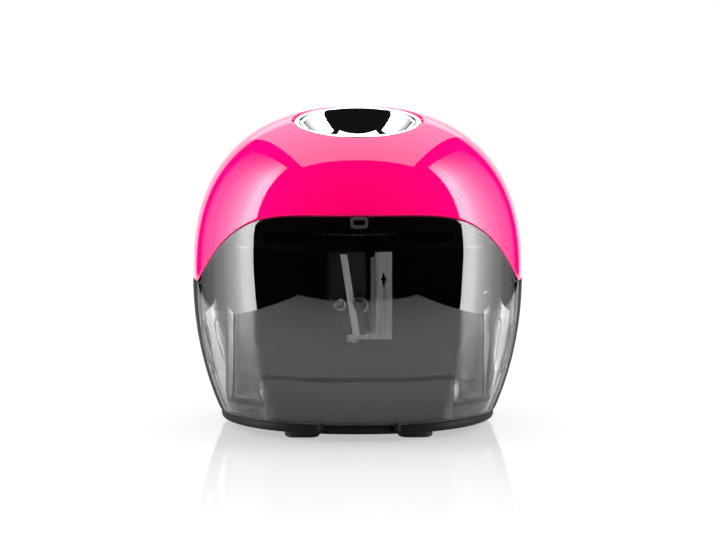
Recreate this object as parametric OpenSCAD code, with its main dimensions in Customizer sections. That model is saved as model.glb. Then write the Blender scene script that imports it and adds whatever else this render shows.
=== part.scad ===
// Battery pencil sharpener: a domed cover over a motor driven cutter, with a
// see-through shavings container that slides out at the front.
// Millimetres. +Z is up, the front faces -Y, and the origin lies on the table
// under the middle of the body.

/* [Body] */
// Width of the body at its widest
body_w = 104.8; // [100:0.2:116]
// Depth of the body at its widest
body_d = 100; // [96:0.2:112]
// Height of the widest level above the table
belt_z = 46.5; // [44:0.1:49]
// Rise of the dome from the widest level to its crown
dome_rise = 53.6; // [52:0.1:60]
// Half height of the ellipse that tapers the body towards its base
taper_h = 77; // [70:0.5:100]
// Squareness of the plan outline, where 2 is an ellipse
plan_power = 2.2; // [2:0.05:2.6]
// Distance of the split between container and housing in front of the middle
split_front = 14; // [12:0.5:16]
// Gap between neighbouring outer shells
seam_gap = 0.4; // [0.2:0.1:0.6]

/* [Top cover] */
// Wall of the top cover
cover_wall = 2.4; // [1.8:0.1:3]
// Height of the cover's lower edge at the sides and back
cover_z = 46.6; // [45:0.1:50]
// Height of the arch over the window, above that edge
arch_rise = 25.1; // [20:0.1:27]
// Squareness of that arch
arch_power = 5; // [4:0.1:6]
// Radius of the screw bosses under the cover
cover_boss_r = 3; // [2.6:0.1:3.4]

/* [Funnel] */
// Distance of the pencil axis in front of the middle
axis_front = 8; // [7:0.5:9]
// Forward lean of the funnel's rim, in degrees
funnel_tilt = 7.4; // [5:0.1:9]
// Height of the middle of the rim
rim_z = 96.9; // [96.5:0.1:97.5]
// Outer radius of the funnel's rim
rim_r = 20.5; // [19:0.1:21]
// Width of the rim's rounded lip
lip_w = 2.4; // [1.6:0.1:3]
// Radius of the throat at the bottom of the bowl
throat_r = 7.2; // [6.8:0.1:8]
// Radius of the sphere that the bowl follows
bowl_sphere_r = 20.6; // [20:0.1:24]
// Wall of the funnel
funnel_wall = 1.2; // [0.8:0.1:1.5]

/* [Pencil guide] */
// Radius of the bore that guides the pencil
guide_bore_r = 4.15; // [3.8:0.05:4.4]
// Outer radius of the guide tube
guide_r = 6.2; // [5.8:0.1:6.6]
// Radius of the guide's flange
guide_flange_r = 9; // [8:0.1:9.6]
// Height of the guide above the gear bridge
guide_rise = 5; // [4:0.1:5.6]

/* [Shavings container] */
// Wall of the container
box_wall = 2; // [1.6:0.1:2.4]
// Distance of the container's rear edge behind the middle
drawer_back = 6; // [5:0.1:6.4]
// Height of the drawer's side walls
drawer_top_z = 46; // [42:0.5:57]
// Height of the side floors
side_floor_z = 11.7; // [11:0.1:13]
// Thickness of the container's floors
floor_t = 1.6; // [1.2:0.1:1.8]
// Radius of the raised floor's upper corners
saddle_r = 3.8; // [2:0.1:5]
// Height of the low lip along the container's rear edge
lip_h = 2.3; // [1.5:0.1:3.5]
// Width of the latch tab at the top of the window
tab_w = 5.4; // [4:0.1:8]
// Height of the latch tab
tab_h = 3.4; // [2.5:0.1:5]
// How far the latch tab stands out of the window
tab_out = 0.6; // [0.4:0.1:1]
// Height of a finger grip's lower end
grip_z = 18; // [16:0.5:20]
// Length of a finger grip
grip_h = 17; // [12:0.5:20]
// Width of a finger grip
grip_w = 6.4; // [5:0.1:7]
// Depth of a finger grip
grip_depth = 1.1; // [0.6:0.1:1.2]
// Number of ribs in a finger grip
grip_ribs = 4; // [2:1:5]

/* [Rear housing] */
// Wall of the rear housing
housing_wall = 2.2; // [1.8:0.1:2.6]
// Thickness of the bulkhead behind the container
bulkhead_t = 1.6; // [1.2:0.1:2]
// Radius of the rear posts that carry the gear deck
rear_post_r = 3.2; // [2.8:0.1:3.6]
// Distance of a rear post from the middle, across
rear_post_x = 34; // [33:0.5:36]
// Distance of a rear post behind the middle
rear_post_y = 22; // [20:0.5:24]
// Radius of the front posts that carry the gear deck
front_post_r = 2.2; // [2:0.1:2.4]

/* [Base] */
// Height of the rubber feet
foot_h = 2.1; // [1.5:0.1:3]
// Thickness of the base plate
base_t = 2.7; // [2.4:0.1:3]
// Thickness of the battery door
door_t = 1.5; // [1.2:0.1:1.8]
// Wall of the battery box
battery_wall = 1.3; // [1:0.1:1.5]
// Distance of the front feet in front of the middle
front_foot_y = 32.1; // [32:0.1:32.6]
// Distance of the rear feet behind the middle
rear_foot_y = 36.6; // [36:0.1:37]

/* [Batteries] */
// Number of cells side by side
cell_count = 4; // [4:1:4]
// Radius of a cell
cell_r = 7.1; // [6.9:0.05:7.2]
// Length of a cell with its button
cell_len = 50.3; // [49.5:0.1:50.5]
// Distance between the middles of neighbouring cells
cell_pitch = 14.4; // [14.4:0.1:14.5]
// Middle of the row of cells behind the middle of the body
cells_y = 0.6; // [0.4:0.1:0.8]
// Length of a compressed contact spring
contact_spring_h = 3.2; // [2.8:0.1:4]
// Thickness of a contact plate
contact_t = 0.4; // [0.3:0.05:0.5]

/* [Gear deck] */
// Height of the deck's underside
deck_z = 60.2; // [60:0.1:61]
// Thickness of the deck
deck_t = 2; // [1.6:0.1:2.4]
// Clearance between the deck's edge and the cover
deck_clear = 1; // [0.6:0.1:1.4]
// Height of the gear bridge above the deck
bridge_rise = 13.8; // [13.6:0.1:14.4]
// Thickness of the gear bridge
bridge_t = 2; // [1.6:0.1:2.2]
// Radius of a leg of the gear bridge
leg_r = 2.6; // [2.3:0.1:2.8]

/* [Drive] */
// Distance of the motor behind the middle
motor_y = 28; // [27.5:0.1:28]
// Radius of the motor can
motor_r = 13.85; // [12:0.05:13.9]
// Length of the motor can
motor_len = 37.8; // [30:0.1:38]
// Radius of the motor shaft
shaft_r = 1.15; // [1:0.05:1.5]
// Teeth of the rotor gear
rotor_teeth = 56; // [56:1:56]
// Teeth of the idler's small gear
idler_small_teeth = 14; // [14:1:14]
// Module of the rotor gear pair
rotor_module = 0.8; // [0.8:0.01:0.82]
// Teeth of the idler's large gear
idler_large_teeth = 48; // [48:1:48]
// Teeth of the motor pinion
pinion_teeth = 12; // [12:1:12]
// Module of the motor gear pair
motor_module = 0.6; // [0.59:0.01:0.61]
// Face width of the rotor gear
rotor_gear_t = 5; // [4:0.1:5.2]
// Face width of the motor gear pair
motor_gear_t = 4; // [3:0.1:4.4]
// Radius of the idler axle
axle_r = 1.5; // [1.2:0.1:2]
// Running clearance of turning pieces, on the radius
run_clear = 0.06; // [0.03:0.01:0.09]

/* [Cutter] */
// Radius of the hollow hub that carries the cutter
hub_r = 8; // [7.5:0.1:8.5]
// Radius of the cutter's carrier disc
carrier_r = 12; // [11:0.1:12.5]
// Height of the carrier's top face
carrier_top_z = 58.6; // [58.2:0.1:58.8]
// Thickness of the carrier disc
carrier_t = 1.6; // [1.2:0.1:2]
// Height of the cutter block's lower end
block_z = 29.6; // [28.5:0.1:31]
// Depth of the cutter block, front to back
block_d = 12; // [10:0.2:13]
// Distance of the block's left side from the axis
block_left = 9.6; // [8.5:0.1:10]
// Distance of the block's right side from the axis
block_right = 2.4; // [2:0.1:3]
// Thickness of the blade
blade_t = 2.2; // [1.2:0.1:2.4]
// Lean of the blade, in degrees
blade_lean = 9; // [7:0.5:11]
// Width of the support post
post_w = 5.4; // [4:0.1:6]
// Distance of the support post's left face from the axis
post_x = 5.4; // [5:0.1:6]
// Thickness of the support post's foot
post_foot_t = 2; // [1.5:0.1:2.2]

/* [Switches] */
// Thickness of the start lever
lever_t = 2.6; // [2:0.1:2.8]
// How far the lever's nose reaches into the pencil's way
nose_in = 0.5; // [0.3:0.1:0.8]
// Radius of the lever's pin
lever_pin_r = 1.5; // [1.2:0.1:2]
// Radius of the safety plunger
plunger_r = 1.5; // [1.2:0.1:1.8]
// Travel of the safety plunger
plunger_travel = 1.5; // [1:0.1:2]
// Wire thickness of the small springs
wire_t = 0.6; // [0.4:0.05:0.8]

/* [Fasteners] */
// Radius of the screws' shanks
screw_r = 1.3; // [1.1:0.05:1.4]
// Radius of the screws' heads
screw_head_r = 2.6; // [2.3:0.1:2.8]
// Height of the screws' heads
screw_head_h = 1.6; // [1.4:0.1:1.8]

/* [Hidden] */

$fn = 64;
eps = 0.01;
half_w = body_w / 2;
half_d = body_d / 2;
rise_power = 2.5;
shoulder_power = 2.4;
plan_sides = 72;
split_y = -split_front;
axis_y = -axis_front;
fit_gap = 0.3;

base_z = foot_h;
base_top = base_z + base_t;
shell_z = base_top + fit_gap;
door_gap = 0.3;
key_x = 12;
key_w = 1.2;
key_rise = 1.2;

cell_z = base_z + door_t + 0.1 + cell_r;
cells_half_y = cell_pitch * cell_count / 2;
battery_half_x = (cell_len + contact_spring_h + 2 * contact_t + 0.3) / 2;
battery_roof_t = 1;
contact_w = 1.4 * cell_r;
battery_top = cell_z + cell_r + 0.1 + battery_roof_t;

saddle_clear = 0.5;
saddle_wall = 1.5;
saddle_half_x = battery_half_x + battery_wall + saddle_clear + saddle_wall;
saddle_z = battery_top + fit_gap + floor_t;
drawer_half_w = half_w - 12.4;
side_floor_under = side_floor_z - floor_t;

bulkhead_y = drawer_back + 0.8;
deck_top = deck_z + deck_t;
bulkhead_top = deck_z - 3.2;
skirt_z = deck_top + 3.4;
skirt_top = skirt_z + 6.8;
skirt_t = 1.2;
skirt_inset = box_wall + 1.2;
bridge_z = deck_top + bridge_rise;
bridge_top = bridge_z + bridge_t;
guide_top = bridge_top + guide_rise;

rotor_gear_z = deck_top + 1;
rotor_gear_top = rotor_gear_z + rotor_gear_t;
motor_gear_z = rotor_gear_top + 1.4;
lever_z = rotor_gear_top + 1.4;
guide_bottom = lever_z - 0.4;
bush_flange_t = 1.2;
hub_bore_r = guide_bore_r + 0.45;

rotor_pitch_r = rotor_module * rotor_teeth / 2;
idler_small_r = rotor_module * idler_small_teeth / 2;
idler_large_r = motor_module * idler_large_teeth / 2;
pinion_r = motor_module * pinion_teeth / 2;
rotor_idler = rotor_pitch_r + idler_small_r;
idler_motor = idler_large_r + pinion_r;
rotor_motor = motor_y - axis_y;
idler_dy = (rotor_idler * rotor_idler - idler_motor * idler_motor + rotor_motor * rotor_motor)
    / (2 * rotor_motor);
idler_x = sqrt(rotor_idler * rotor_idler - idler_dy * idler_dy);
idler_y = axis_y + idler_dy;
mesh_angle_rotor = atan2(idler_dy, idler_x);
mesh_angle_motor = atan2(motor_y - idler_y, -idler_x);
hub_of_gear_r = 3;

carrier_z = carrier_top_z - carrier_t;
block_top = carrier_z;
post_screw_h = 1.7;
post_top = carrier_z - post_screw_h;
post_d = 5.2;
screw_level = 39.3;
cone_top_z = 53;
block_bore_r = guide_bore_r + fit_gap;
blade_screw_head_r = 1.9;
arm_screw_head_r = 2.7;
blade_screw_head_h = 1.3;
blade_screw_r = 0.9;
blade_screw_len = 4.5;
arm_screw_len = 5;

motor_top = deck_z;
motor_bottom = motor_top - motor_len;
can_wall = 1;
can_bore_r = motor_r - can_wall;
can_roof_t = 1.2;
cap_h = 5;
terminal_x = motor_r * 0.65;
terminal_w = 2.6;
magnet_t = 2.8;
magnet_z = motor_bottom + 7.6;
magnet_len = 24;
magnet_gap = 11;
air_gap = 0.6;
armature_z = magnet_z + 2;
armature_len = magnet_len - 4;
armature_r = can_bore_r - magnet_t - air_gap;
commutator_h = 3.2;

lever_pin_x = -24;
lever_pin_y = 14;
lever_w = 5;
switch_size = [6, 12.8, 10.5];
switch_right = lever_pin_x - lever_w / 2 - 1.6;
switch_y = 0;
slot_play = 1.6;
button_r = 1;
button_h = 1.4;
web_z = 24;
side_room = half_w * body_share(base_top, dome_rise) - housing_wall;
plunger_x = (battery_half_x + battery_wall + side_room) / 2 - 0.2;
plunger_z = side_floor_z + 1.2;
plunger_tip_y = drawer_back + fit_gap;
plunger_collar_y = bulkhead_y + bulkhead_t + plunger_travel;
plunger_end_y = plunger_collar_y + 4.4;

front_post_x = half_w - 7.4;
front_post_y = -8.4;
front_boss_x = plunger_x + 2;
front_boss_r = 3;
front_screw_y = -8;
case_screw_len = 8;
bridge_screw_len = 7;
front_screw_len = 4;
cover_boss_spots = [[-36, -22], [36, -22], [-22, 36], [22, 36]];
bridge_legs = [[-28, -19], [28, -19], [-27, 23], [28.4, 27.4]];
motor_screw_x = 8;
rear_foot_x = 12;
front_foot_w = 11;
front_foot_d = 6.4;
rear_foot_w = 9;
rear_foot_d = 4.6;
foot_seat = 0.6;
front_foot_x = 17.7;

// Half size of the body at height z, as a share of its widest half size
function body_share(z, rise) = z < belt_z
    ? sqrt(1 - pow((belt_z - z) / taper_h, 2))
    : pow(1 - pow((z - belt_z) / rise, rise_power), 1 / shoulder_power);

// Half width of the plan outline at distance y from the middle, at the widest level
function plan_x(y) = half_w * pow(1 - pow(abs(y) / half_d, plan_power), 1 / plan_power);

function signed_pow(v, p) = sign(v) * pow(abs(v), p);

// Plan outline with the given half sizes
function plan_points(a, b) = [
    for (i = [0 : plan_sides - 1])
        let (t = 360 * i / plan_sides)
            [a * signed_pow(cos(t), 2 / plan_power), b * signed_pow(sin(t), 2 / plan_power)]
];

// Levels from z_low to z_high, closer together towards the crown
function body_levels(z_low, z_high, count) = [
    for (i = [0 : count])
        let (s = i / count)
            z_high > belt_z + dome_rise / 2
                ? z_low + (z_high - z_low) * sin(90 * s)
                : z_low + (z_high - z_low) * s
];

// Solid inside the body's surface, drawn in by inset, between two heights
module body_solid(inset, z_low, z_high, count = 12) {
    rise = dome_rise - inset;
    levels = body_levels(z_low, min(z_high, belt_z + rise * 0.995), count);
    points = [
        for (z = levels)
            for (p = plan_points((half_w - inset) * body_share(z, rise),
                                 (half_d - inset) * body_share(z, rise)))
                [p[0], p[1], z]
    ];
    n = plan_sides;
    top = len(levels) - 1;
    faces = concat(
        [[for (i = [0 : n - 1]) i]],
        [[for (i = [n - 1 : -1 : 0]) top * n + i]],
        [for (k = [0 : top - 1], i = [0 : n - 1])
            [k * n + i, (k + 1) * n + i, (k + 1) * n + (i + 1) % n]],
        [for (k = [0 : top - 1], i = [0 : n - 1])
            [k * n + i, (k + 1) * n + (i + 1) % n, k * n + (i + 1) % n]]
    );
    polyhedron(points, faces, convexity = 4);
}

// Height of the seam between cover and window at distance x from the middle
function arch_z(x) = cover_z
    + arch_rise * (1 - pow(min(abs(x) / plan_x(split_y), 1), arch_power));

// Everything in front of the split that lies below the arch, lowered by drop
module below_arch(drop) {
    steps = 48;
    reach = plan_x(split_y);
    outline = concat(
        [[reach + 5, -1], [-reach - 5, -1], [-reach - 5, cover_z - drop]],
        [for (i = [0 : steps]) let (x = reach * sin(90 * (2 * i / steps - 1))) [x, arch_z(x) - drop]],
        [[reach + 5, cover_z - drop]]
    );
    translate([0, split_y, 0])
        rotate([90, 0, 0])
            linear_extrude(height = body_d)
                polygon(outline);
}

// Moves children to the funnel's own frame, its rim in the XY plane
module at_rim() {
    translate([0, axis_y, rim_z]) rotate([funnel_tilt, 0, 0]) children();
}

module at_axis(z = 0) { translate([0, axis_y, z]) children(); }

module tube(r, bore, h) {
    difference() {
        cylinder(r = r, h = h);
        translate([0, 0, -1]) cylinder(r = bore, h = h + 2);
    }
}

// Screw with its head's underside at z = 0 and its shank pointing up
module screw(length, head_r = screw_head_r, head_h = screw_head_h, r = screw_r) {
    difference() {
        translate([0, 0, -head_h]) cylinder(r = head_r, h = head_h);
        translate([-head_r * 0.65, -0.3, -head_h - 1]) cube([head_r * 1.3, 0.6, 1.6]);
        translate([-0.3, -head_r * 0.65, -head_h - 1]) cube([0.6, head_r * 1.3, 1.6]);
    }
    cylinder(r = r, h = length);
}

// Coil spring along +Z from z = 0
module coil(r, wire, height, turns, sides = 6, per_turn = 12) {
    steps = turns * per_turn;
    travel = height - wire;
    points = [
        for (i = [0 : steps])
            let (t = 360 * i / per_turn, z = wire / 2 + travel * i / steps)
                for (j = [0 : sides - 1])
                    let (q = 360 * j / sides, d = r - wire / 2 + wire / 2 * cos(q))
                        [d * cos(t), d * sin(t), z + wire / 2 * sin(q)]
    ];
    faces = concat(
        [[for (j = [0 : sides - 1]) j]],
        [[for (j = [sides - 1 : -1 : 0]) steps * sides + j]],
        [for (i = [0 : steps - 1], j = [0 : sides - 1])
            [i * sides + j, (i + 1) * sides + j, (i + 1) * sides + (j + 1) % sides]],
        [for (i = [0 : steps - 1], j = [0 : sides - 1])
            [i * sides + j, (i + 1) * sides + (j + 1) % sides, i * sides + (j + 1) % sides]]
    );
    polyhedron(points, faces, convexity = 6);
}

pressure_angle = 25;
addendum = 0.8;
dedendum = 1.05;
tooth_thinning = 0.08;

function involute_angle(base_r, r) = r <= base_r ? 0
    : let (a = acos(base_r / r)) tan(a) * 180 / PI - a;

// Outline of a spur gear with a tooth centred at angle 0
function gear_points(teeth, module_mm) =
    let (
        pitch = module_mm * teeth / 2,
        base_r = pitch * cos(pressure_angle),
        tip = pitch + addendum * module_mm,
        root = pitch - dedendum * module_mm,
        half = 90 / teeth * (1 - tooth_thinning) + involute_angle(base_r, pitch),
        start = max(root, base_r),
        steps = 4,
        // Below the base circle a flank runs straight down to the root
        flank = concat(
            root < base_r ? [[root, half]] : [],
            [for (k = [0 : steps])
                let (r = start + (tip - start) * k / steps)
                    [r, half - involute_angle(base_r, r)]]),
        last = len(flank) - 1
    )
    [
        for (i = [0 : teeth - 1], k = [0 : 2 * last + 1])
            let (
                p = flank[min(k, 2 * last + 1 - k)],
                a = 360 * i / teeth + (k <= last ? -p[1] : p[1])
            )
                [p[0] * cos(a), p[0] * sin(a)]
    ];

module spur_gear(teeth, module_mm, h) {
    linear_extrude(height = h) polygon(gear_points(teeth, module_mm));
}

module top_cover() {
    color([1, 0, 0.44])
        difference() {
            union() {
                difference() {
                    body_solid(0, cover_z, belt_z + dome_rise);
                    body_solid(cover_wall, cover_z - 1, belt_z + dome_rise);
                }
                intersection() {
                    body_solid(cover_wall / 2, cover_z, belt_z + dome_rise);
                    for (p = cover_boss_spots)
                        translate([p[0], p[1], deck_top])
                            cylinder(r = cover_boss_r, h = dome_rise);
                }
            }
            at_rim() cylinder(r = rim_r + seam_gap, h = 60, center = true);
            below_arch(0);
            for (p = cover_boss_spots)
                translate([p[0], p[1], deck_top - 1]) cylinder(r = screw_r, h = 9);
        }
}

module funnel() {
    lip = lip_w / 2;
    bowl_r = rim_r - lip_w;
    // The bowl is part of a sphere, from the lip down to the throat
    rim_slope = asin(bowl_r / bowl_sphere_r);
    throat_slope = asin(throat_r / bowl_sphere_r);
    bowl = [for (i = [0 : 14]) let (t = rim_slope + (throat_slope - rim_slope) * i / 14)
        [bowl_sphere_r * sin(t), -lip - bowl_sphere_r * (cos(t) - cos(rim_slope))]];
    outer = [for (i = [14 : -1 : 0])
        let (t = rim_slope + (throat_slope - rim_slope) * i / 14, r = bowl_sphere_r + funnel_wall)
            [r * sin(t), -lip - r * cos(t) + bowl_sphere_r * cos(rim_slope)]];
    color([0.85, 0.86, 0.88])
        at_rim()
            rotate_extrude($fn = 96) {
                polygon(concat(bowl, outer));
                translate([rim_r - lip, -lip]) circle(r = lip, $fn = 32);
            }
}

module pencil_guide() {
    color([0.12, 0.12, 0.13])
        at_axis()
            difference() {
                union() {
                    translate([0, 0, guide_bottom]) cylinder(r = guide_r, h = guide_top - guide_bottom);
                    translate([0, 0, bridge_top]) cylinder(r = guide_flange_r, h = 1.4);
                }
                translate([0, 0, guide_bottom - 1]) {
                    cylinder(r = guide_bore_r, h = 40);
                    cylinder(r = hub_bore_r, h = lever_t + 2);
                }
                translate([0, 0, guide_top - 1.5]) cylinder(r1 = guide_bore_r, r2 = guide_r - 0.4, h = 1.51);
                // Slot for the start lever's nose
                translate([-guide_r - 1, -lever_w / 2 - slot_play, guide_bottom - 1])
                    cube([guide_r + 1, lever_w + slot_play + 0.3, lever_t + 2]);
            }
}

// Section of the container's floor across the body
module floor_section(low, high_drop) {
    difference() {
        union() {
            translate([-drawer_half_w, low]) square([2 * drawer_half_w, side_floor_z - low]);
            translate([-saddle_half_x, low])
                square([2 * saddle_half_x, saddle_z - saddle_r - low]);
            translate([-saddle_half_x + saddle_r, low])
                square([2 * (saddle_half_x - saddle_r), saddle_z - low]);
            for (s = [-1, 1])
                translate([s * (saddle_half_x - saddle_r), saddle_z - saddle_r])
                    circle(r = saddle_r);
        }
        translate([-saddle_half_x + saddle_wall, low - 1])
            square([2 * (saddle_half_x - saddle_wall), saddle_z - floor_t - low + 1 - high_drop]);
    }
}

module along_y(y_front, y_back) {
    translate([0, y_back, 0])
        rotate([90, 0, 0])
            linear_extrude(height = y_back - y_front) children();
}

module finger_grips() {
    for (s = [-1, 1])
        intersection() {
            difference() {
                translate([s * (half_w - 4), split_y - 1.2 - grip_w / 2, grip_z + grip_w / 2])
                    rotate([0, 90, 0])
                        union() {
                            cylinder(r = grip_w / 2, h = 12, center = true);
                            translate([-(grip_h - grip_w), 0, 0])
                                cylinder(r = grip_w / 2, h = 12, center = true);
                            translate([-(grip_h - grip_w), -grip_w / 2, -6])
                                cube([grip_h - grip_w, grip_w, 12]);
                        }
                body_solid(grip_depth, shell_z, cover_z, 6);
                for (i = [1 : grip_ribs])
                    translate([s * (half_w - 5),
                               split_y - 1.2 - grip_w * i / (grip_ribs + 1), grip_z + grip_h / 2])
                        cube([14, 0.6, grip_h * 1.2], center = true);
            }
            translate([-body_w, -body_d, 0]) cube([2 * body_w, body_d + split_y, 60]);
        }
}

module shavings_container() {
    arch_top = cover_z + arch_rise;
    color([0.22, 0.22, 0.24, 0.55])
        difference() {
            union() {
                intersection() {
                    difference() {
                        body_solid(0, shell_z, arch_top + 1, 10);
                        body_solid(box_wall, shell_z - 1, arch_top + 2, 10);
                    }
                    below_arch(seam_gap);
                    translate([-body_w, -body_d, 0])
                        cube([2 * body_w, body_d + split_y - seam_gap, body_w]);
                }
                intersection() {
                    body_solid(box_wall / 2, shell_z - 1, arch_top, 10);
                    union() {
                        along_y(-half_d, drawer_back) floor_section(side_floor_under, 0);
                        for (s = [-1, 1])
                            translate([s * (drawer_half_w - box_wall / 2), 0, 0])
                                translate([-box_wall / 2, -half_d, side_floor_under])
                                    cube([box_wall, half_d + drawer_back,
                                          drawer_top_z - side_floor_under]);
                        along_y(drawer_back - box_wall, drawer_back)
                            intersection() {
                                translate([0, lip_h]) floor_section(side_floor_under, 0);
                                translate([-drawer_half_w, side_floor_under])
                                    square([2 * drawer_half_w, drawer_top_z]);
                            }
                        intersection() {
                            below_arch(seam_gap);
                            along_y(split_y - seam_gap - box_wall, split_y - seam_gap)
                                difference() {
                                    translate([-half_w, shell_z])
                                        square([body_w, drawer_top_z - shell_z]);
                                    translate([-drawer_half_w + box_wall / 2, 0])
                                        square([2 * drawer_half_w - box_wall, body_w]);
                                }
                        }
                    }
                }
                intersection() {
                    difference() {
                        body_solid(-tab_out, cover_z, arch_top + 2, 6);
                        body_solid(box_wall / 2, cover_z - 1, arch_top + 3, 6);
                    }
                    translate([-tab_w / 2, -body_d, arch_top - seam_gap - tab_h])
                        cube([tab_w, body_d / 2, tab_h]);
                }
            }
            finger_grips();
            for (s = [-1, 1])
                translate([s * key_x - key_w / 2 - fit_gap, -half_d, shell_z - 1])
                    cube([key_w + 2 * fit_gap, 16, key_rise + 1]);
        }
}

// Wall behind the container, with a cut-out for the battery box
module bulkhead() {
    cut_half_x = battery_half_x + battery_wall + fit_gap;
    translate([-half_w, bulkhead_y, base_top])
        difference() {
            cube([body_w, bulkhead_t, bulkhead_top - base_top]);
            translate([half_w - cut_half_x, -1, -1])
                cube([2 * cut_half_x, bulkhead_t + 2, battery_top - base_top + 1 + fit_gap]);
        }
}

module rear_housing() {
    color([0.05, 0.05, 0.055])
        difference() {
            union() {
                intersection() {
                    difference() {
                        body_solid(0, shell_z, cover_z - seam_gap, 8);
                        body_solid(housing_wall, shell_z - 1, cover_z + 1, 8);
                    }
                    translate([-body_w, split_y, 0]) cube([2 * body_w, body_d, body_w]);
                }
                intersection() {
                    body_solid(cover_wall + fit_gap, base_top, bulkhead_top + 2, 8);
                    bulkhead();
                }
                intersection() {
                    body_solid(housing_wall / 2, base_top, cover_z - 2, 8);
                    union() {
                        bulkhead();
                        for (s = [-1, 1]) {
                            translate([s * front_boss_x, front_screw_y, base_top])
                                cylinder(r = front_boss_r, h = side_floor_under - 0.5 - base_top);
                            translate([s * (front_boss_x + 4), front_screw_y, base_top + 2])
                                cube([8, 2, 4], center = true);
                            translate([s * (front_post_x + 2.6), front_post_y, (24 + cover_z - 1) / 2])
                                cube([5.2, 1.6, cover_z - 1 - 24], center = true);
                        }
                    }
                }
                for (s = [-1, 1]) {
                    translate([s * rear_post_x, rear_post_y, base_top])
                        cylinder(r = rear_post_r, h = deck_z - base_top);
                    translate([s * rear_post_x - 0.8, bulkhead_y + bulkhead_t - 0.5, web_z])
                        cube([1.6, rear_post_y - bulkhead_y - bulkhead_t, bulkhead_top - 2 - web_z]);
                    translate([s * front_post_x, front_post_y, 24])
                        cylinder(r = front_post_r, h = deck_z - 24);
                }
            }
            for (s = [-1, 1]) {
                translate([s * rear_post_x, rear_post_y, base_top - 1]) cylinder(r = screw_r, h = 11);
                translate([s * rear_post_x, rear_post_y, deck_z - 9]) cylinder(r = screw_r, h = 10);
                translate([s * front_boss_x, front_screw_y, base_top - 1]) cylinder(r = screw_r, h = 4.6);
            }
            translate([plunger_x, bulkhead_y - 1, plunger_z])
                rotate([-90, 0, 0]) cylinder(r = plunger_r + run_clear, h = bulkhead_t + 2);
        }
}

module foot_outline(w, d) {
    square([w - d, d], center = true);
    for (s = [-1, 1]) translate([s * (w - d) / 2, 0]) circle(r = d / 2);
}

module feet() {
    color([0.16, 0.16, 0.17])
        for (s = [-1, 1]) {
            translate([s * front_foot_x, -front_foot_y, 0])
                linear_extrude(height = foot_h + foot_seat) foot_outline(front_foot_w, front_foot_d);
            translate([s * rear_foot_x, rear_foot_y, 0])
                linear_extrude(height = foot_h + foot_seat) foot_outline(rear_foot_w, rear_foot_d);
        }
}

module base_plate() {
    share = body_share(base_z + base_t / 2, dome_rise);
    door_half_x = battery_half_x - door_gap;
    door_front = cells_y - cells_half_y - 0.3;
    color([0.06, 0.06, 0.065])
        difference() {
            union() {
                translate([0, 0, base_z])
                    linear_extrude(height = base_t)
                        polygon(plan_points(half_w * share, half_d * share));
                translate([-battery_half_x - battery_wall, cells_y - cells_half_y - battery_wall - 0.3,
                           base_z])
                    cube([2 * (battery_half_x + battery_wall), 2 * (cells_half_y + battery_wall + 0.3),
                          battery_top - base_z]);
                for (s = [-1, 1])
                    translate([s * key_x - key_w / 2, -half_d * share - 0.25, base_z + 0.8])
                        cube([key_w, 3, base_t - 0.8 + key_rise]);
            }
            translate([-battery_half_x, cells_y - cells_half_y - 0.3, base_z - 1])
                cube([2 * battery_half_x, 2 * cells_half_y + 0.6,
                      battery_top - battery_roof_t - base_z + 1]);
            for (s = [-1, 1]) {
                translate([s * front_foot_x, -front_foot_y, base_z - 1])
                    linear_extrude(height = 1 + foot_seat) foot_outline(front_foot_w, front_foot_d);
                translate([s * rear_foot_x, rear_foot_y, base_z - 1])
                    linear_extrude(height = 1 + foot_seat) foot_outline(rear_foot_w, rear_foot_d);
                for (p = [[rear_post_x, rear_post_y], [front_boss_x, front_screw_y]])
                    translate([s * p[0], p[1], base_z - 1]) {
                        cylinder(r = screw_r + 0.2, h = base_t + 2);
                        cylinder(r = screw_head_r + 0.3, h = screw_head_h + 1.1);
                    }
            }
        }
}

module battery_door() {
    front = cells_y - cells_half_y;
    w = 2 * (battery_half_x - door_gap);
    color([0.07, 0.07, 0.075])
        difference() {
            union() {
                translate([-w / 2, front, base_z]) cube([w, 2 * cells_half_y - 0.6, door_t]);
                // Hinge bead along the rear edge
                translate([-w / 2 + 4, front + 2 * cells_half_y - 0.8, base_z + door_t / 2])
                    rotate([0, 90, 0]) cylinder(r = door_t / 2, h = w - 8);
            }
            // Finger notch at the front edge
            translate([0, front - 1, base_z - 1]) cylinder(r = 5, h = 1.6);
        }
}

module cell(i) {
    s = i % 2 == 1 ? 1 : -1;
    y = cells_y + (i - (cell_count + 1) / 2) * cell_pitch;
    button_len = 1;
    body_len = cell_len - button_len;
    spring_end = battery_half_x - 0.15 - contact_t;
    start = -spring_end + contact_spring_h;
    color(i % 2 == 1 ? [0.75, 0.42, 0.16] : [0.12, 0.12, 0.13])
        translate([0, y, cell_z])
            rotate([0, s * 90, 0]) {
                translate([0, 0, start]) cylinder(r = cell_r, h = body_len);
                translate([0, 0, start + body_len]) cylinder(r = 2.75, h = button_len);
            }
}

module each_cell_end(positive) {
    for (i = [1 : cell_count])
        let (s = i % 2 == 1 ? 1 : -1,
             y = cells_y + (i - (cell_count + 1) / 2) * cell_pitch)
            translate([0, y, cell_z]) rotate([0, (positive ? s : -s) * 90, 0]) children();
}

module contact_plates() {
    color([0.78, 0.76, 0.7])
        for (positive = [true, false])
            each_cell_end(positive)
                translate([-contact_w / 2, -contact_w / 2, battery_half_x - 0.15 - contact_t])
                    cube([contact_w, contact_w, contact_t]);
}

module contact_springs() {
    color([0.8, 0.8, 0.82])
        each_cell_end(false)
            translate([0, 0, battery_half_x - 0.15 - contact_t - contact_spring_h])
                coil(contact_w * 0.4, wire_t, contact_spring_h, 3);
}

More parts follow.
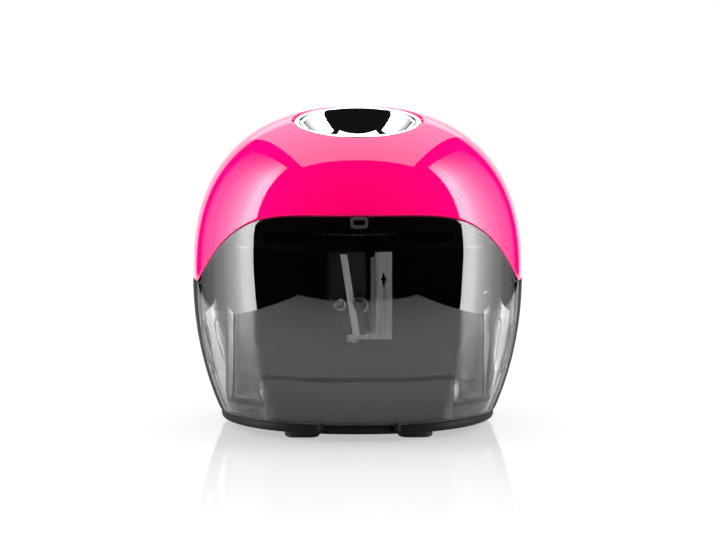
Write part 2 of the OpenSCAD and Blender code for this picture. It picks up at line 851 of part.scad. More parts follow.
// Curved skirt behind the top of the window, on four ribs
module deck_skirt() {
    intersection() {
        difference() {
            body_solid(skirt_inset, deck_z + 0.4, skirt_top, 6);
            body_solid(skirt_inset + skirt_t, deck_z - 1, skirt_top + 1, 6);
        }
        union() {
            translate([-half_w, -half_d, skirt_z]) cube([body_w, half_d - 26, body_w]);
            for (x = [-30, -12, 12, 30])
                translate([x - 0.8, -half_d, deck_z]) cube([1.6, half_d - 26, skirt_z - deck_z + 0.5]);
        }
    }
}

module gear_deck() {
    share = body_share(deck_top, dome_rise - cover_wall);
    color([0.1, 0.1, 0.11])
        difference() {
            union() {
                translate([0, 0, deck_z])
                    linear_extrude(height = deck_t)
                        polygon(plan_points((half_w - cover_wall) * share - deck_clear,
                                            (half_d - cover_wall) * share - deck_clear));
                deck_skirt();
            }
            at_axis(deck_z - 1) cylinder(r = hub_r + 2.6, h = deck_t + 2);
            translate([0, motor_y, deck_z - 1]) cylinder(r = 5, h = deck_t + 2);
            for (s = [-1, 1]) {
                translate([s * motor_screw_x, motor_y, deck_z - 1]) cylinder(r = screw_r + 0.2, h = deck_t + 2);
                translate([s * rear_post_x, rear_post_y, deck_z - 1])
                    cylinder(r = screw_r + 0.2, h = deck_t + 2);
            }
            translate([idler_x, idler_y, deck_z - 1]) cylinder(r = axle_r, h = deck_t + 2);
            translate([lever_pin_x, lever_pin_y, deck_z - 1]) cylinder(r = lever_pin_r, h = deck_t + 2);
            for (p = concat(cover_boss_spots, bridge_legs))
                translate([p[0], p[1], deck_z - 1]) cylinder(r = screw_r + 0.2, h = deck_t + 2);
        }
}

module gear_bridge() {
    color([0.14, 0.14, 0.15])
        difference() {
            union() {
                translate([0, 0, bridge_z])
                    linear_extrude(height = bridge_t) {
                        polygon([for (k = [0, 1, 3, 2]) bridge_legs[k]]);
                        for (p = bridge_legs) translate(p) circle(r = leg_r + 0.6);
                    }
                for (p = bridge_legs)
                    translate([p[0], p[1], deck_top]) cylinder(r = leg_r, h = bridge_z - deck_top);
            }
            at_axis(bridge_z - 1) cylinder(r = guide_r, h = bridge_t + 2);
            translate([idler_x, idler_y, bridge_z - 1]) cylinder(r = axle_r, h = bridge_t + 2);
            for (p = bridge_legs)
                translate([p[0], p[1], deck_top - 1]) cylinder(r = screw_r, h = 7);
        }
}

module bearing_bush() {
    color([0.72, 0.6, 0.36])
        at_axis()
            difference() {
                union() {
                    translate([0, 0, deck_z - bush_flange_t]) cylinder(r = hub_r + 4.4, h = bush_flange_t);
                    translate([0, 0, deck_z - bush_flange_t])
                        cylinder(r = hub_r + 2.6, h = bush_flange_t + deck_t + 0.6);
                }
                translate([0, 0, deck_z - 5]) cylinder(r = hub_r + run_clear, h = 20);
            }
}

module rotor_gear() {
    color([0.86, 0.86, 0.84])
        at_axis()
            difference() {
                union() {
                    translate([0, 0, rotor_gear_z])
                        rotate([0, 0, mesh_angle_rotor])
                            spur_gear(rotor_teeth, rotor_module, rotor_gear_t);
                    translate([0, 0, carrier_top_z]) cylinder(r = hub_r, h = rotor_gear_z - carrier_top_z);
                }
                translate([0, 0, carrier_top_z - 1]) cylinder(r = hub_bore_r, h = 20);
                translate([0, 0, rotor_gear_top - 1.5])
                    tube(rotor_pitch_r - 2.4, hub_r + 1.5, 3);
            }
}

module cutter_carrier() {
    color([0.5, 0.5, 0.52])
        at_axis(carrier_z)
            difference() {
                cylinder(r = carrier_r, h = carrier_t);
                translate([0, 0, -1]) cylinder(r = hub_bore_r, h = carrier_t + 2);
                translate([post_x + post_w / 2, 0, -1]) cylinder(r = screw_r, h = carrier_t + 2);
            }
}

// The blade's section, seen from the front: x from the axis, z from the table
function blade_outline(extra) =
    let (z0 = block_z, z1 = block_top - 1.8, lean = tan(blade_lean), x0 = -1.6,
         low_x = x0 + extra * lean, high_x = x0 - (z1 - z0) * lean)
        [[low_x, z0 - extra], [low_x + blade_t, z0 - extra],
         [high_x + blade_t, z1], [high_x, z1]];

blade_front = block_d / 2 + 1.4;
blade_back = 0.6;

module blade() {
    color([0.82, 0.83, 0.85])
        at_axis()
            along_y(-blade_front, -blade_back) polygon(blade_outline(0));
}

module cutter_block() {
    color([0.2, 0.2, 0.22])
        at_axis()
            difference() {
                intersection() {
                    translate([0, 0, block_z]) cylinder(r = block_left + 0.8, h = block_top - block_z);
                    translate([-block_left, -block_d / 2, block_z])
                        cube([block_left + block_right, block_d, block_top - block_z]);
                }
                rotate_extrude()
                    polygon([[0, block_z + 0.8], [0.7, block_z + 0.8], [block_bore_r, cone_top_z],
                             [block_bore_r, block_top + 1], [0, block_top + 1]]);
                along_y(-block_d, -blade_back) polygon(blade_outline(1));
                // The lower left corner is cut away so that shavings fall clear
                along_y(-block_d, block_d)
                    polygon([[-block_left - 1, block_z + 13], [-block_left - 1, block_z - 1],
                             [-4.4, block_z - 1]]);
                for (x = [-5.7, 0.5])
                    translate([x, -block_d, screw_level]) rotate([-90, 0, 0]) cylinder(r = blade_screw_r, h = 11);
            }
}

module blade_screws() {
    color([0.75, 0.76, 0.78])
        at_axis() {
            translate([-5.7, -block_d / 2, screw_level])
                rotate([-90, 0, 0]) screw(blade_screw_len, blade_screw_head_r, blade_screw_head_h, blade_screw_r);
            translate([0.5, -blade_front, screw_level])
                rotate([-90, 0, 0])
                    screw(arm_screw_len, arm_screw_head_r, blade_screw_head_h, blade_screw_r);
        }
}

module support_post() {
    color([0.66, 0.67, 0.7])
        at_axis()
            difference() {
                union() {
                    translate([post_x, -post_d / 2, block_z - post_foot_t])
                        cube([post_w, post_d, post_top - block_z + post_foot_t]);
                    translate([post_x - 1.3, -1.8, block_z - post_foot_t])
                        cube([1.3 + eps, 3.6, post_top - block_z + post_foot_t - 2]);
                    translate([-3.4, -post_d / 2, block_z - post_foot_t])
                        cube([post_x + 3.4 + eps, post_d, post_foot_t]);
                }
                // Keyhole slot and centre groove
                translate([post_x + post_w / 2, -post_d, 46.5]) rotate([-90, 0, 0]) {
                    cylinder(r = 0.9, h = 12);
                    translate([-0.35, -2.2, 0]) cube([0.7, 4.4, 12]);
                }
                translate([post_x + post_w / 2 - 0.2, -post_d / 2 - 1, block_z])
                    cube([0.4, 1.4, 14]);
                translate([post_x + post_w / 2, 0, post_top - 6]) cylinder(r = screw_r, h = 10);
                translate([-1.6, 0, block_z - post_foot_t - 1]) cylinder(r = 1, h = 5);
            }
}

module post_screws() {
    color([0.78, 0.79, 0.8])
        at_axis() {
            // Cap screw between the post and the carrier
            translate([post_x + post_w / 2, 0, post_top]) {
                cylinder(r = 2.2, h = post_screw_h);
                translate([0, 0, -5]) cylinder(r = screw_r, h = 5 + post_screw_h + carrier_t);
            }
            // Stop screw under the pencil's point
            translate([-1.6, 0, block_z - post_foot_t]) screw(post_foot_t, 2, 1.2, 1);
        }
}

module idler_gear() {
    color([0.9, 0.89, 0.84])
        translate([idler_x, idler_y, 0])
            difference() {
                union() {
                    translate([0, 0, rotor_gear_z])
                        rotate([0, 0, mesh_angle_rotor + 180 + 180 / idler_small_teeth])
                            spur_gear(idler_small_teeth, rotor_module, motor_gear_z - rotor_gear_z);
                    translate([0, 0, motor_gear_z])
                        rotate([0, 0, mesh_angle_motor])
                            spur_gear(idler_large_teeth, motor_module, motor_gear_t);
                    translate([0, 0, motor_gear_z])
                        cylinder(r = hub_of_gear_r, h = bridge_z - 0.3 - motor_gear_z);
                }
                translate([0, 0, deck_z]) cylinder(r = axle_r + run_clear, h = 30);
                translate([0, 0, motor_gear_z + motor_gear_t - 1.2])
                    tube(idler_large_r - 2.2, hub_of_gear_r + 1.2, 3);
            }
}

module idler_axle() {
    color([0.75, 0.76, 0.78])
        translate([idler_x, idler_y, deck_z]) cylinder(r = axle_r, h = bridge_top - deck_z);
}

module motor_can() {
    color([0.72, 0.73, 0.75])
        translate([0, motor_y, 0])
            difference() {
                union() {
                    difference() {
                        translate([0, 0, motor_bottom]) cylinder(r = motor_r, h = motor_len);
                        translate([0, 0, motor_bottom - 1])
                            cylinder(r = can_bore_r, h = motor_len + 1 - can_roof_t);
                    }
                    // Bearing seat, inside the roof and out through the deck
                    translate([0, 0, motor_top - can_roof_t - 3]) cylinder(r = 3.2, h = can_roof_t + 3);
                    translate([0, 0, motor_top]) cylinder(r = 4.9, h = 1.5);
                }
                translate([0, 0, motor_bottom]) cylinder(r = shaft_r + run_clear, h = motor_len + 5);
                for (s = [-1, 1])
                    translate([s * motor_screw_x, 0, motor_top - 4]) cylinder(r = screw_r, h = 5);
            }
}

module motor_magnets() {
    color([0.25, 0.25, 0.27])
        translate([0, motor_y, magnet_z])
            difference() {
                tube(can_bore_r, can_bore_r - magnet_t, magnet_len);
                translate([-motor_r, -magnet_gap / 2, -1]) cube([2 * motor_r, magnet_gap, magnet_len + 2]);
            }
}

module motor_armature() {
    color([0.62, 0.42, 0.3])
        translate([0, motor_y, armature_z])
            difference() {
                union() {
                    cylinder(r = armature_r, h = armature_len);
                    translate([0, 0, -commutator_h]) cylinder(r = 3, h = commutator_h);
                }
                translate([0, 0, -commutator_h - 1]) cylinder(r = shaft_r, h = armature_len + commutator_h + 2);
                // Three winding slots
                for (a = [90, 210, 330])
                    rotate([0, 0, a]) translate([armature_r * 0.45, -1, -1])
                        cube([armature_r, 2, armature_len + 2]);
            }
}

module motor_end_cap() {
    color([0.88, 0.87, 0.82])
        translate([0, motor_y, motor_bottom])
            difference() {
                union() {
                    cylinder(r = can_bore_r, h = cap_h);
                    translate([0, 0, -0.6]) cylinder(r = 4, h = 1);
                }
                translate([0, 0, -2]) cylinder(r = shaft_r + run_clear, h = 12);
                for (s = [-1, 1])
                    translate([s * terminal_x - terminal_w / 2, -0.3, -1])
                        cube([terminal_w, 0.6, cap_h - 1]);
            }
}

module motor_terminals() {
    color([0.8, 0.66, 0.3])
        for (s = [-1, 1])
            translate([s * terminal_x - terminal_w / 2, motor_y - 0.3, motor_bottom - 2])
                cube([terminal_w, 0.6, cap_h]);
}

module motor_shaft() {
    color([0.7, 0.71, 0.73])
        translate([0, motor_y, motor_bottom + 0.4])
            cylinder(r = shaft_r, h = motor_gear_z + motor_gear_t + 0.8 - motor_bottom - 0.4);
}

module motor_pinion() {
    color([0.85, 0.72, 0.4])
        translate([0, motor_y, motor_gear_z - 0.2])
            difference() {
                rotate([0, 0, mesh_angle_motor + 180 + 180 / pinion_teeth])
                    spur_gear(pinion_teeth, motor_module, motor_gear_t + 0.6);
                translate([0, 0, -1]) cylinder(r = shaft_r, h = 10);
            }
}

module motor_screws() {
    color([0.7, 0.71, 0.73])
        for (s = [-1, 1])
            translate([s * motor_screw_x, motor_y, deck_top]) rotate([180, 0, 0]) screw(4.5);
}

// The lever lies over the rotor gear. Its nose reaches through the guide's slot.
module start_lever() {
    reach = -guide_bore_r + nose_in - lever_pin_x;
    drop = axis_y - lever_pin_y;
    color([0.92, 0.9, 0.84])
        translate([lever_pin_x, lever_pin_y, lever_z])
            difference() {
                union() {
                    cylinder(r = 4.2, h = lever_t);
                    linear_extrude(height = lever_t) {
                        translate([-lever_w / 2, drop - lever_w / 2]) square([lever_w, lever_w / 2 - drop]);
                        translate([-lever_w / 2, drop - lever_w / 2])
                            square([reach, lever_w]);
                        translate([reach - lever_w / 2, drop]) circle(r = lever_w / 2);
                    }
                }
                translate([0, 0, -1]) cylinder(r = lever_pin_r + run_clear, h = lever_t + 2);
            }
}

module lever_pin() {
    color([0.7, 0.71, 0.73])
        translate([lever_pin_x, lever_pin_y, deck_z]) {
            cylinder(r = lever_pin_r, h = lever_z + lever_t + 0.4 - deck_z);
            translate([0, 0, lever_z + lever_t + 0.2 - deck_z]) cylinder(r = 2.6, h = 0.9);
        }
}

module lever_spring() {
    color([0.8, 0.8, 0.82])
        translate([lever_pin_x, lever_pin_y, deck_top])
            coil(3, wire_t, lever_z - deck_top - 0.3, 6);
}

module micro_switch() {
    color([0.08, 0.08, 0.09])
        translate([switch_right - switch_size[0], switch_y - switch_size[1] / 2, deck_top])
            difference() {
                cube(switch_size);
                for (y = [2.6, switch_size[1] - 2.6])
                    translate([-1, y, 3.4]) rotate([0, 90, 0]) cylinder(r = 1.1, h = switch_size[0] + 2);
                translate([switch_size[0] - 3, switch_size[1] / 2, lever_z - deck_top + lever_t / 2])
                    rotate([0, 90, 0]) cylinder(r = button_r + run_clear, h = 4);
            }
}

module switch_button() {
    color([0.8, 0.2, 0.15])
        translate([switch_right - 1.6, switch_y, lever_z + lever_t / 2])
            rotate([0, 90, 0]) cylinder(r = button_r, h = button_h + 1.6);
}

module switch_terminals() {
    color([0.8, 0.66, 0.3])
        for (y = [-4.4, 0, 4.4])
            translate([switch_right - switch_size[0] - 3.2, switch_y + y - 0.6, deck_top + 7])
                cube([3.2, 1.2, 0.5]);
}

module safety_plunger() {
    color([0.9, 0.9, 0.88])
        translate([plunger_x, 0, plunger_z])
            rotate([-90, 0, 0]) {
                translate([0, 0, plunger_tip_y])
                    cylinder(r = plunger_r, h = plunger_end_y + 1.6 - plunger_tip_y);
                translate([0, 0, plunger_collar_y]) cylinder(r = plunger_r + 1.6, h = 1.2);
            }
}

module plunger_spring() {
    color([0.8, 0.8, 0.82])
        translate([plunger_x, plunger_collar_y + 1.3, plunger_z])
            rotate([-90, 0, 0])
                coil(plunger_r + 1.3, wire_t, plunger_end_y - plunger_collar_y - 1.4, 3);
}

module safety_switch() {
    size = [6, 4, 8];
    color([0.08, 0.08, 0.09])
        difference() {
            translate([plunger_x - size[0] / 2, plunger_end_y, base_top])
                cube([size[0], size[1], plunger_z + size[2] / 2 - base_top]);
            translate([plunger_x, plunger_end_y - 1, plunger_z])
                rotate([-90, 0, 0]) cylinder(r = plunger_r + run_clear, h = 3.4);
        }
}

module deck_screws() {
    color([0.6, 0.61, 0.63])
        for (s = [-1, 1])
            translate([s * rear_post_x, rear_post_y, deck_top]) rotate([180, 0, 0]) screw(case_screw_len);
}

module cover_screws() {
    color([0.6, 0.61, 0.63])
        for (p = cover_boss_spots)
            translate([p[0], p[1], deck_z]) screw(case_screw_len);
}

module bridge_screws() {
    color([0.6, 0.61, 0.63])
        for (p = bridge_legs)
            translate([p[0], p[1], deck_z]) screw(bridge_screw_len);
}

module housing_screws() {
    color([0.6, 0.61, 0.63])
        for (s = [-1, 1]) {
            translate([s * rear_post_x, rear_post_y, base_z + 0.1 + screw_head_h]) screw(case_screw_len);
            translate([s * front_boss_x, front_screw_y, base_z + 0.1 + screw_head_h]) screw(front_screw_len);
        }
}

top_cover();
funnel();
pencil_guide();
shavings_container();
rear_housing();
base_plate();
feet();
battery_door();
cell(1);  // cell_1
cell(2);  // cell_2
cell(3);  // cell_3
cell(4);  // cell_4
contact_plates();
contact_springs();
gear_deck();
gear_bridge();
bearing_bush();
rotor_gear();
cutter_carrier();
cutter_block();
blade();
blade_screws();
support_post();
post_screws();
idler_gear();
idler_axle();
motor_can();
motor_magnets();
motor_armature();
motor_end_cap();
motor_terminals();
motor_shaft();
motor_pinion();
motor_screws();
start_lever();
lever_pin();
lever_spring();
micro_switch();
switch_button();
switch_terminals();
safety_plunger();
plunger_spring();
safety_switch();
deck_screws();
cover_screws();
bridge_screws();
housing_screws();
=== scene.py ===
"""Looks of a battery pencil sharpener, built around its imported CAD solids.

The outer shells, the funnel and the pieces of the cutter that show through the
window are modelled here. The other solids keep their shape and get a finish.
"""

import logging
import math
from contextlib import contextmanager
from dataclasses import dataclass
from enum import Enum
from functools import cache
from typing import Callable, Iterator, Sequence

import bpy
from mathutils import Matrix, Vector

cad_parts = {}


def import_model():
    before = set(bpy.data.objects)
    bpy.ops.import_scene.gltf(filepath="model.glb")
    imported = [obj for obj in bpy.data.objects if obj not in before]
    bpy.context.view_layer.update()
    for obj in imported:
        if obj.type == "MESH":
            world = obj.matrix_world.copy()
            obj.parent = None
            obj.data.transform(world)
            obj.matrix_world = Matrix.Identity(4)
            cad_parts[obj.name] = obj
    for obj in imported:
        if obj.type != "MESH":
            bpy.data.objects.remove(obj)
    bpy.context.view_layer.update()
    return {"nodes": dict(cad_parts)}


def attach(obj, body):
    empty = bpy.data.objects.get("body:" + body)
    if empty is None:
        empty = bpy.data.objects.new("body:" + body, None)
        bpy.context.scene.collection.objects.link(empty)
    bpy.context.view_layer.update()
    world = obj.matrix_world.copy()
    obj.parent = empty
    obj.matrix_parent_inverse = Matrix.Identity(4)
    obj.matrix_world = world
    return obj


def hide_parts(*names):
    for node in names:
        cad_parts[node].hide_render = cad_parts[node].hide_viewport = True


logging.basicConfig(level=logging.INFO, format="%(message)s")
LOG = logging.getLogger("sharpener")

MM = 0.001

# Distances, in millimetres, within which the points of a mesh are merged.
MERGE_SAME = 0.001
MERGE_CUT = 0.002
MERGE_SEAM = 0.01

# Halvings that bring a range on the surface far below a micrometre.
HALVINGS = 42

Object = bpy.types.Object
Material = bpy.types.Material
Node = bpy.types.Node
Socket = bpy.types.NodeSocket
Pair = tuple[float, float]
Point = tuple[float, float, float]


class Part(Enum):
    """CAD bodies that pieces ride on."""

    ROOT = "root"
    CONTAINER = "container"
    CUTTER = "cutter"


class Join(Enum):
    """Ways to combine a solid with another one."""

    ADD = "UNION"
    CUT = "DIFFERENCE"
    KEEP = "INTERSECT"


class Mixed(Enum):
    """What a mix node mixes: its data type, its inputs and its output."""

    COLOUR = ("RGBA", (0, 6, 7), 2)
    NUMBER = ("FLOAT", (0, 2, 3), 0)


@dataclass(frozen=True)
class Rounding:
    """How a piece's sharp edges are rounded: width in millimetres, least angle."""

    width: float
    segments: int
    degrees: float
    clamp: bool = True


@dataclass(frozen=True)
class BodyShape:
    """The surface that the cover, the window and the housing share, in millimetres."""

    half_w: float = 52.4
    half_d: float = 50.0
    belt_z: float = 46.5
    rise: float = 53.6
    taper: float = 77.0
    plan_power: float = 2.2
    rise_power: float = 2.5
    shoulder_power: float = 2.4
    cover_z: float = 46.6
    arch_rise: float = 25.1
    arch_power: float = 5.0
    split_y: float = -14.0
    shell_z: float = 5.1
    gap: float = 0.4

    def share(self, z: float) -> float:
        """Gives the plan's size at a height.

        Args:
            z: the height.

        Returns:
            The size as a share of the widest plan.
        """
        if z < self.belt_z:
            return math.sqrt(1 - ((self.belt_z - z) / self.taper) ** 2)
        climb = min((z - self.belt_z) / self.rise, 1.0)
        return (1 - climb**self.rise_power) ** (1 / self.shoulder_power)

    def plan(self, angle: float) -> Pair:
        """Gives a point of the widest plan.

        Args:
            angle: the angle round the middle, in radians, from the right side.

        Returns:
            The point's x and y.
        """
        power = 2 / self.plan_power
        c, s = math.cos(angle), math.sin(angle)
        return (
            self.half_w * math.copysign(abs(c) ** power, c),
            self.half_d * math.copysign(abs(s) ** power, s),
        )

    def point(self, angle: float, z: float) -> Vector:
        """Gives a point of the surface.

        Args:
            angle: the plan angle.
            z: the height.

        Returns:
            The point.
        """
        x, y = self.plan(angle)
        k = self.share(z)
        return Vector((x * k, y * k, z))

    def arch(self, x: float) -> float:
        """Gives the height of the seam over the window.

        Args:
            x: distance from the middle.

        Returns:
            The height.
        """
        reach = self.half_w * (
            1 - (abs(self.split_y) / self.half_d) ** self.plan_power
        ) ** (1 / self.plan_power)
        return self.cover_z + self.arch_rise * (
            1 - min(abs(x) / reach, 1.0) ** self.arch_power
        )

    def angle_at(self, y: float, z: float, side: int) -> float:
        """Finds the plan angle at which the surface meets a plane across the body.

        Args:
            y: distance of the plane behind the middle.
            z: height of the level.
            side: -1 for the left crossing and 1 for the right one.

        Returns:
            The angle in radians, between -pi and 0 in front of the middle.
        """
        ratio = min(abs(y) / (self.half_d * self.share(z)), 1.0)
        lean = math.asin(ratio ** (self.plan_power / 2))
        lean = -lean if y < 0 else lean
        return lean if side > 0 else math.pi - lean


BODY = BodyShape()


@dataclass(frozen=True)
class FunnelShape:
    """Place and sizes of the pencil funnel in the crown, in millimetres."""

    axis_y: float = -8.0
    rim_z: float = 96.9
    tilt: float = math.radians(7.4)
    rim_r: float = 20.5
    lip: float = 1.2
    throat_r: float = 7.2
    bowl_r: float = 20.6
    wall: float = 1.2
    hole_gap: float = 0.4

    def frame(self) -> Matrix:
        """Returns the transform that puts the rim's own plane in the body."""
        tilt = Matrix.Rotation(self.tilt, 4, "X")
        return Matrix.Translation((0, self.axis_y * MM, self.rim_z * MM)) @ tilt

    def distance(self, p: Vector) -> float:
        """Measures how far a point lies from the funnel's axis.

        Args:
            p: the point, in millimetres.

        Returns:
            The distance, in millimetres.
        """
        away = p - Vector((0, self.axis_y, self.rim_z))
        axis = Vector((0, -math.sin(self.tilt), math.cos(self.tilt)))
        return (away - axis * away.dot(axis)).length


FUNNEL = FunnelShape()


def seek(inside: Callable[[float], bool], low: float, high: float) -> float:
    """Halves a range until it meets the place where a test turns false.

    Args:
        inside: the test, which holds at the start of the range.
        low: the range's start.
        high: its end.

    Returns:
        The last value for which the test holds.
    """
    for _ in range(HALVINGS):
        middle = (low + high) / 2
        if inside(middle):
            low = middle
        else:
            high = middle
    return low


class Bench:
    """Modelling steps that more than one piece uses."""

    @staticmethod
    def clear() -> None:
        """Leaves edit mode and deselects everything."""
        if bpy.context.object and bpy.context.object.mode != "OBJECT":
            bpy.ops.object.mode_set(mode="OBJECT")
        bpy.ops.object.select_all(action="DESELECT")

    @staticmethod
    def pick(obj: Object) -> Object:
        """Makes a piece the only selected object.

        Args:
            obj: the piece.

        Returns:
            The piece.
        """
        Bench.clear()
        obj.select_set(True)
        bpy.context.view_layer.objects.active = obj
        return obj

    @staticmethod
    @contextmanager
    def editing(obj: Object) -> Iterator[None]:
        """Opens a piece in edit mode with all of it selected, and closes it after.

        Args:
            obj: the piece.

        Returns:
            A context for the steps that edit the piece.
        """
        Bench.pick(obj)
        bpy.ops.object.mode_set(mode="EDIT")
        bpy.ops.mesh.select_all(action="SELECT")
        yield
        bpy.ops.object.mode_set(mode="OBJECT")

    @staticmethod
    def named(name: str) -> Object:
        """Names the object that was just added.

        Args:
            name: its name.

        Returns:
            The object.
        """
        obj = bpy.context.object
        obj.name = obj.data.name = name
        return obj

    @staticmethod
    def settle(obj: Object) -> Object:
        """Moves a piece's place into its mesh, so that its object sits at the origin.

        Args:
            obj: the piece.

        Returns:
            The piece.
        """
        Bench.pick(obj)
        bpy.ops.object.transform_apply(location=True, rotation=True, scale=True)
        return obj

    @staticmethod
    def modify(obj: Object, kind: str, **values: object) -> Object:
        """Adds a modifier, sets its values and applies it.

        Args:
            obj: the piece.
            kind: Blender's name for the modifier.
            values: the modifier's settings.

        Returns:
            The piece.
        """
        Bench.pick(obj)
        bpy.ops.object.modifier_add(type=kind)
        modifier = obj.modifiers[-1]
        for key, value in values.items():
            setattr(modifier, key, value)
        bpy.ops.object.modifier_apply(modifier=modifier.name)
        return obj

    @staticmethod
    def tidy(obj: Object, merge: float) -> Object:
        """Merges a piece's doubles and turns its faces outwards.

        Args:
            obj: the piece.
            merge: distance within which points are merged, in millimetres.

        Returns:
            The piece.
        """
        with Bench.editing(obj):
            bpy.ops.mesh.remove_doubles(threshold=merge * MM)
            bpy.ops.mesh.normals_make_consistent(inside=False)
        return obj

    @staticmethod
    def smooth(obj: Object, degrees: float) -> Object:
        """Shades a piece smooth except at its sharp edges.

        Args:
            obj: the piece.
            degrees: the least angle of an edge that stays sharp.

        Returns:
            The piece.
        """
        Bench.pick(obj)
        bpy.ops.object.shade_smooth_by_angle(angle=math.radians(degrees))
        return obj

    @staticmethod
    def round_edges(obj: Object, how: Rounding) -> Object:
        """Rounds a piece's sharp edges.

        Args:
            obj: the piece.
            how: the rounding.

        Returns:
            The piece.
        """
        return Bench.modify(
            obj,
            "BEVEL",
            width=how.width * MM,
            segments=how.segments,
            limit_method="ANGLE",
            angle_limit=math.radians(how.degrees),
            use_clamp_overlap=how.clamp,
        )

    @staticmethod
    def thicken(sheet: Object, wall: float) -> Object:
        """Gives a sheet a thickness on its inner side.

        Args:
            sheet: the sheet, with its faces outwards.
            wall: the thickness, in millimetres.

        Returns:
            The closed wall.
        """
        return Bench.modify(
            sheet, "SOLIDIFY", thickness=wall * MM, offset=-1, use_even_offset=True
        )

    @staticmethod
    def combine(obj: Object, tool: Object, how: Join) -> Object:
        """Combines a piece with another one, which is used up.

        Args:
            obj: the piece that is kept.
            tool: the piece that is used up.
            how: the way to combine them.

        Returns:
            The piece that is kept.
        """
        Bench.modify(obj, "BOOLEAN", object=tool, operation=how.value, solver="EXACT")
        bpy.data.objects.remove(tool)
        return obj

    @staticmethod
    def grid(
        name: str, columns: int, rows: int, place: Callable[[float, float], Vector]
    ) -> Object:
        """Bends a flat grid into a curved sheet.

        Args:
            name: the piece's name.
            columns: faces along the sheet.
            rows: faces up the sheet.
            place: gives the point in millimetres for shares 0 to 1 along and up.

        Returns:
            The sheet.
        """
        Bench.clear()
        bpy.ops.mesh.primitive_grid_add(
            x_subdivisions=columns, y_subdivisions=rows, size=1
        )
        obj = Bench.named(name)
        for v in obj.data.vertices:
            v.co = place(v.co.x + 0.5, v.co.y + 0.5) * MM
        return obj

    @staticmethod
    def box(name: str, low: Point, high: Point) -> Object:
        """Adds a block.

        Args:
            name: the piece's name.
            low: its lowest corner, in millimetres.
            high: its highest corner, in millimetres.

        Returns:
            The block.
        """
        Bench.clear()
        middle = [(a + b) / 2 * MM for a, b in zip(low, high)]
        size = [(b - a) * MM for a, b in zip(low, high)]
        bpy.ops.mesh.primitive_cube_add(size=1, location=middle, scale=size)
        return Bench.settle(Bench.named(name))

    @staticmethod
    def rod(name: str, centre: Point, r: float, length: float, sides: int) -> Object:
        """Adds a cylinder that lies along X.

        Args:
            name: the piece's name.
            centre: its middle, in millimetres.
            r: its radius, in millimetres.
            length: its length, in millimetres.
            sides: faces round it.

        Returns:
            The cylinder.
        """
        Bench.clear()
        bpy.ops.mesh.primitive_cylinder_add(
            vertices=sides,
            radius=r * MM,
            depth=length * MM,
            location=[c * MM for c in centre],
            rotation=(0, math.pi / 2, 0),
        )
        return Bench.settle(Bench.named(name))

    @staticmethod
    def turned(name: str, profile: Sequence[Pair], steps: int) -> Object:
        """Spins a closed profile round the Z axis.

        Args:
            name: the piece's name.
            profile: corners (radius, height) in millimetres, in order.
            steps: segments of the full turn.

        Returns:
            The turned piece, on the Z axis.
        """
        Bench.clear()
        bpy.ops.mesh.primitive_circle_add(
            vertices=len(profile), radius=1, fill_type="NOTHING"
        )
        obj = Bench.named(name)
        for v, (r, z) in zip(obj.data.vertices, profile):
            v.co = Vector((r, 0, z)) * MM
        with Bench.editing(obj):
            bpy.ops.mesh.spin(
                steps=steps, angle=2 * math.pi, center=(0, 0, 0), axis=(0, 0, 1)
            )
        return Bench.tidy(obj, MERGE_SAME)


@dataclass(frozen=True)
class Finish:
    """Base of a finish: it makes one procedural material when it is first asked for."""

    name: str
    colour: Point
    roughness: float

    @cache
    def material(self) -> Material:
        """Returns the finish's material, which is made on the first call."""
        return self.build()

    def build(self) -> Material:
        """Returns a new material; each kind of finish says how."""
        raise NotImplementedError

    def tone(self, share: float = 1.0) -> tuple[float, float, float, float]:
        """Returns the colour times a share, with full alpha."""
        return (*[c * share for c in self.colour], 1.0)


def dress(obj: Object, finish: Finish) -> Object:
    """Gives every slot of a piece one finish.

    Args:
        obj: the piece.
        finish: the finish.

    Returns:
        The piece.
    """
    material = finish.material()
    if not obj.data.materials:
        obj.data.materials.append(material)
    for slot in obj.material_slots:
        slot.material = material
    return obj


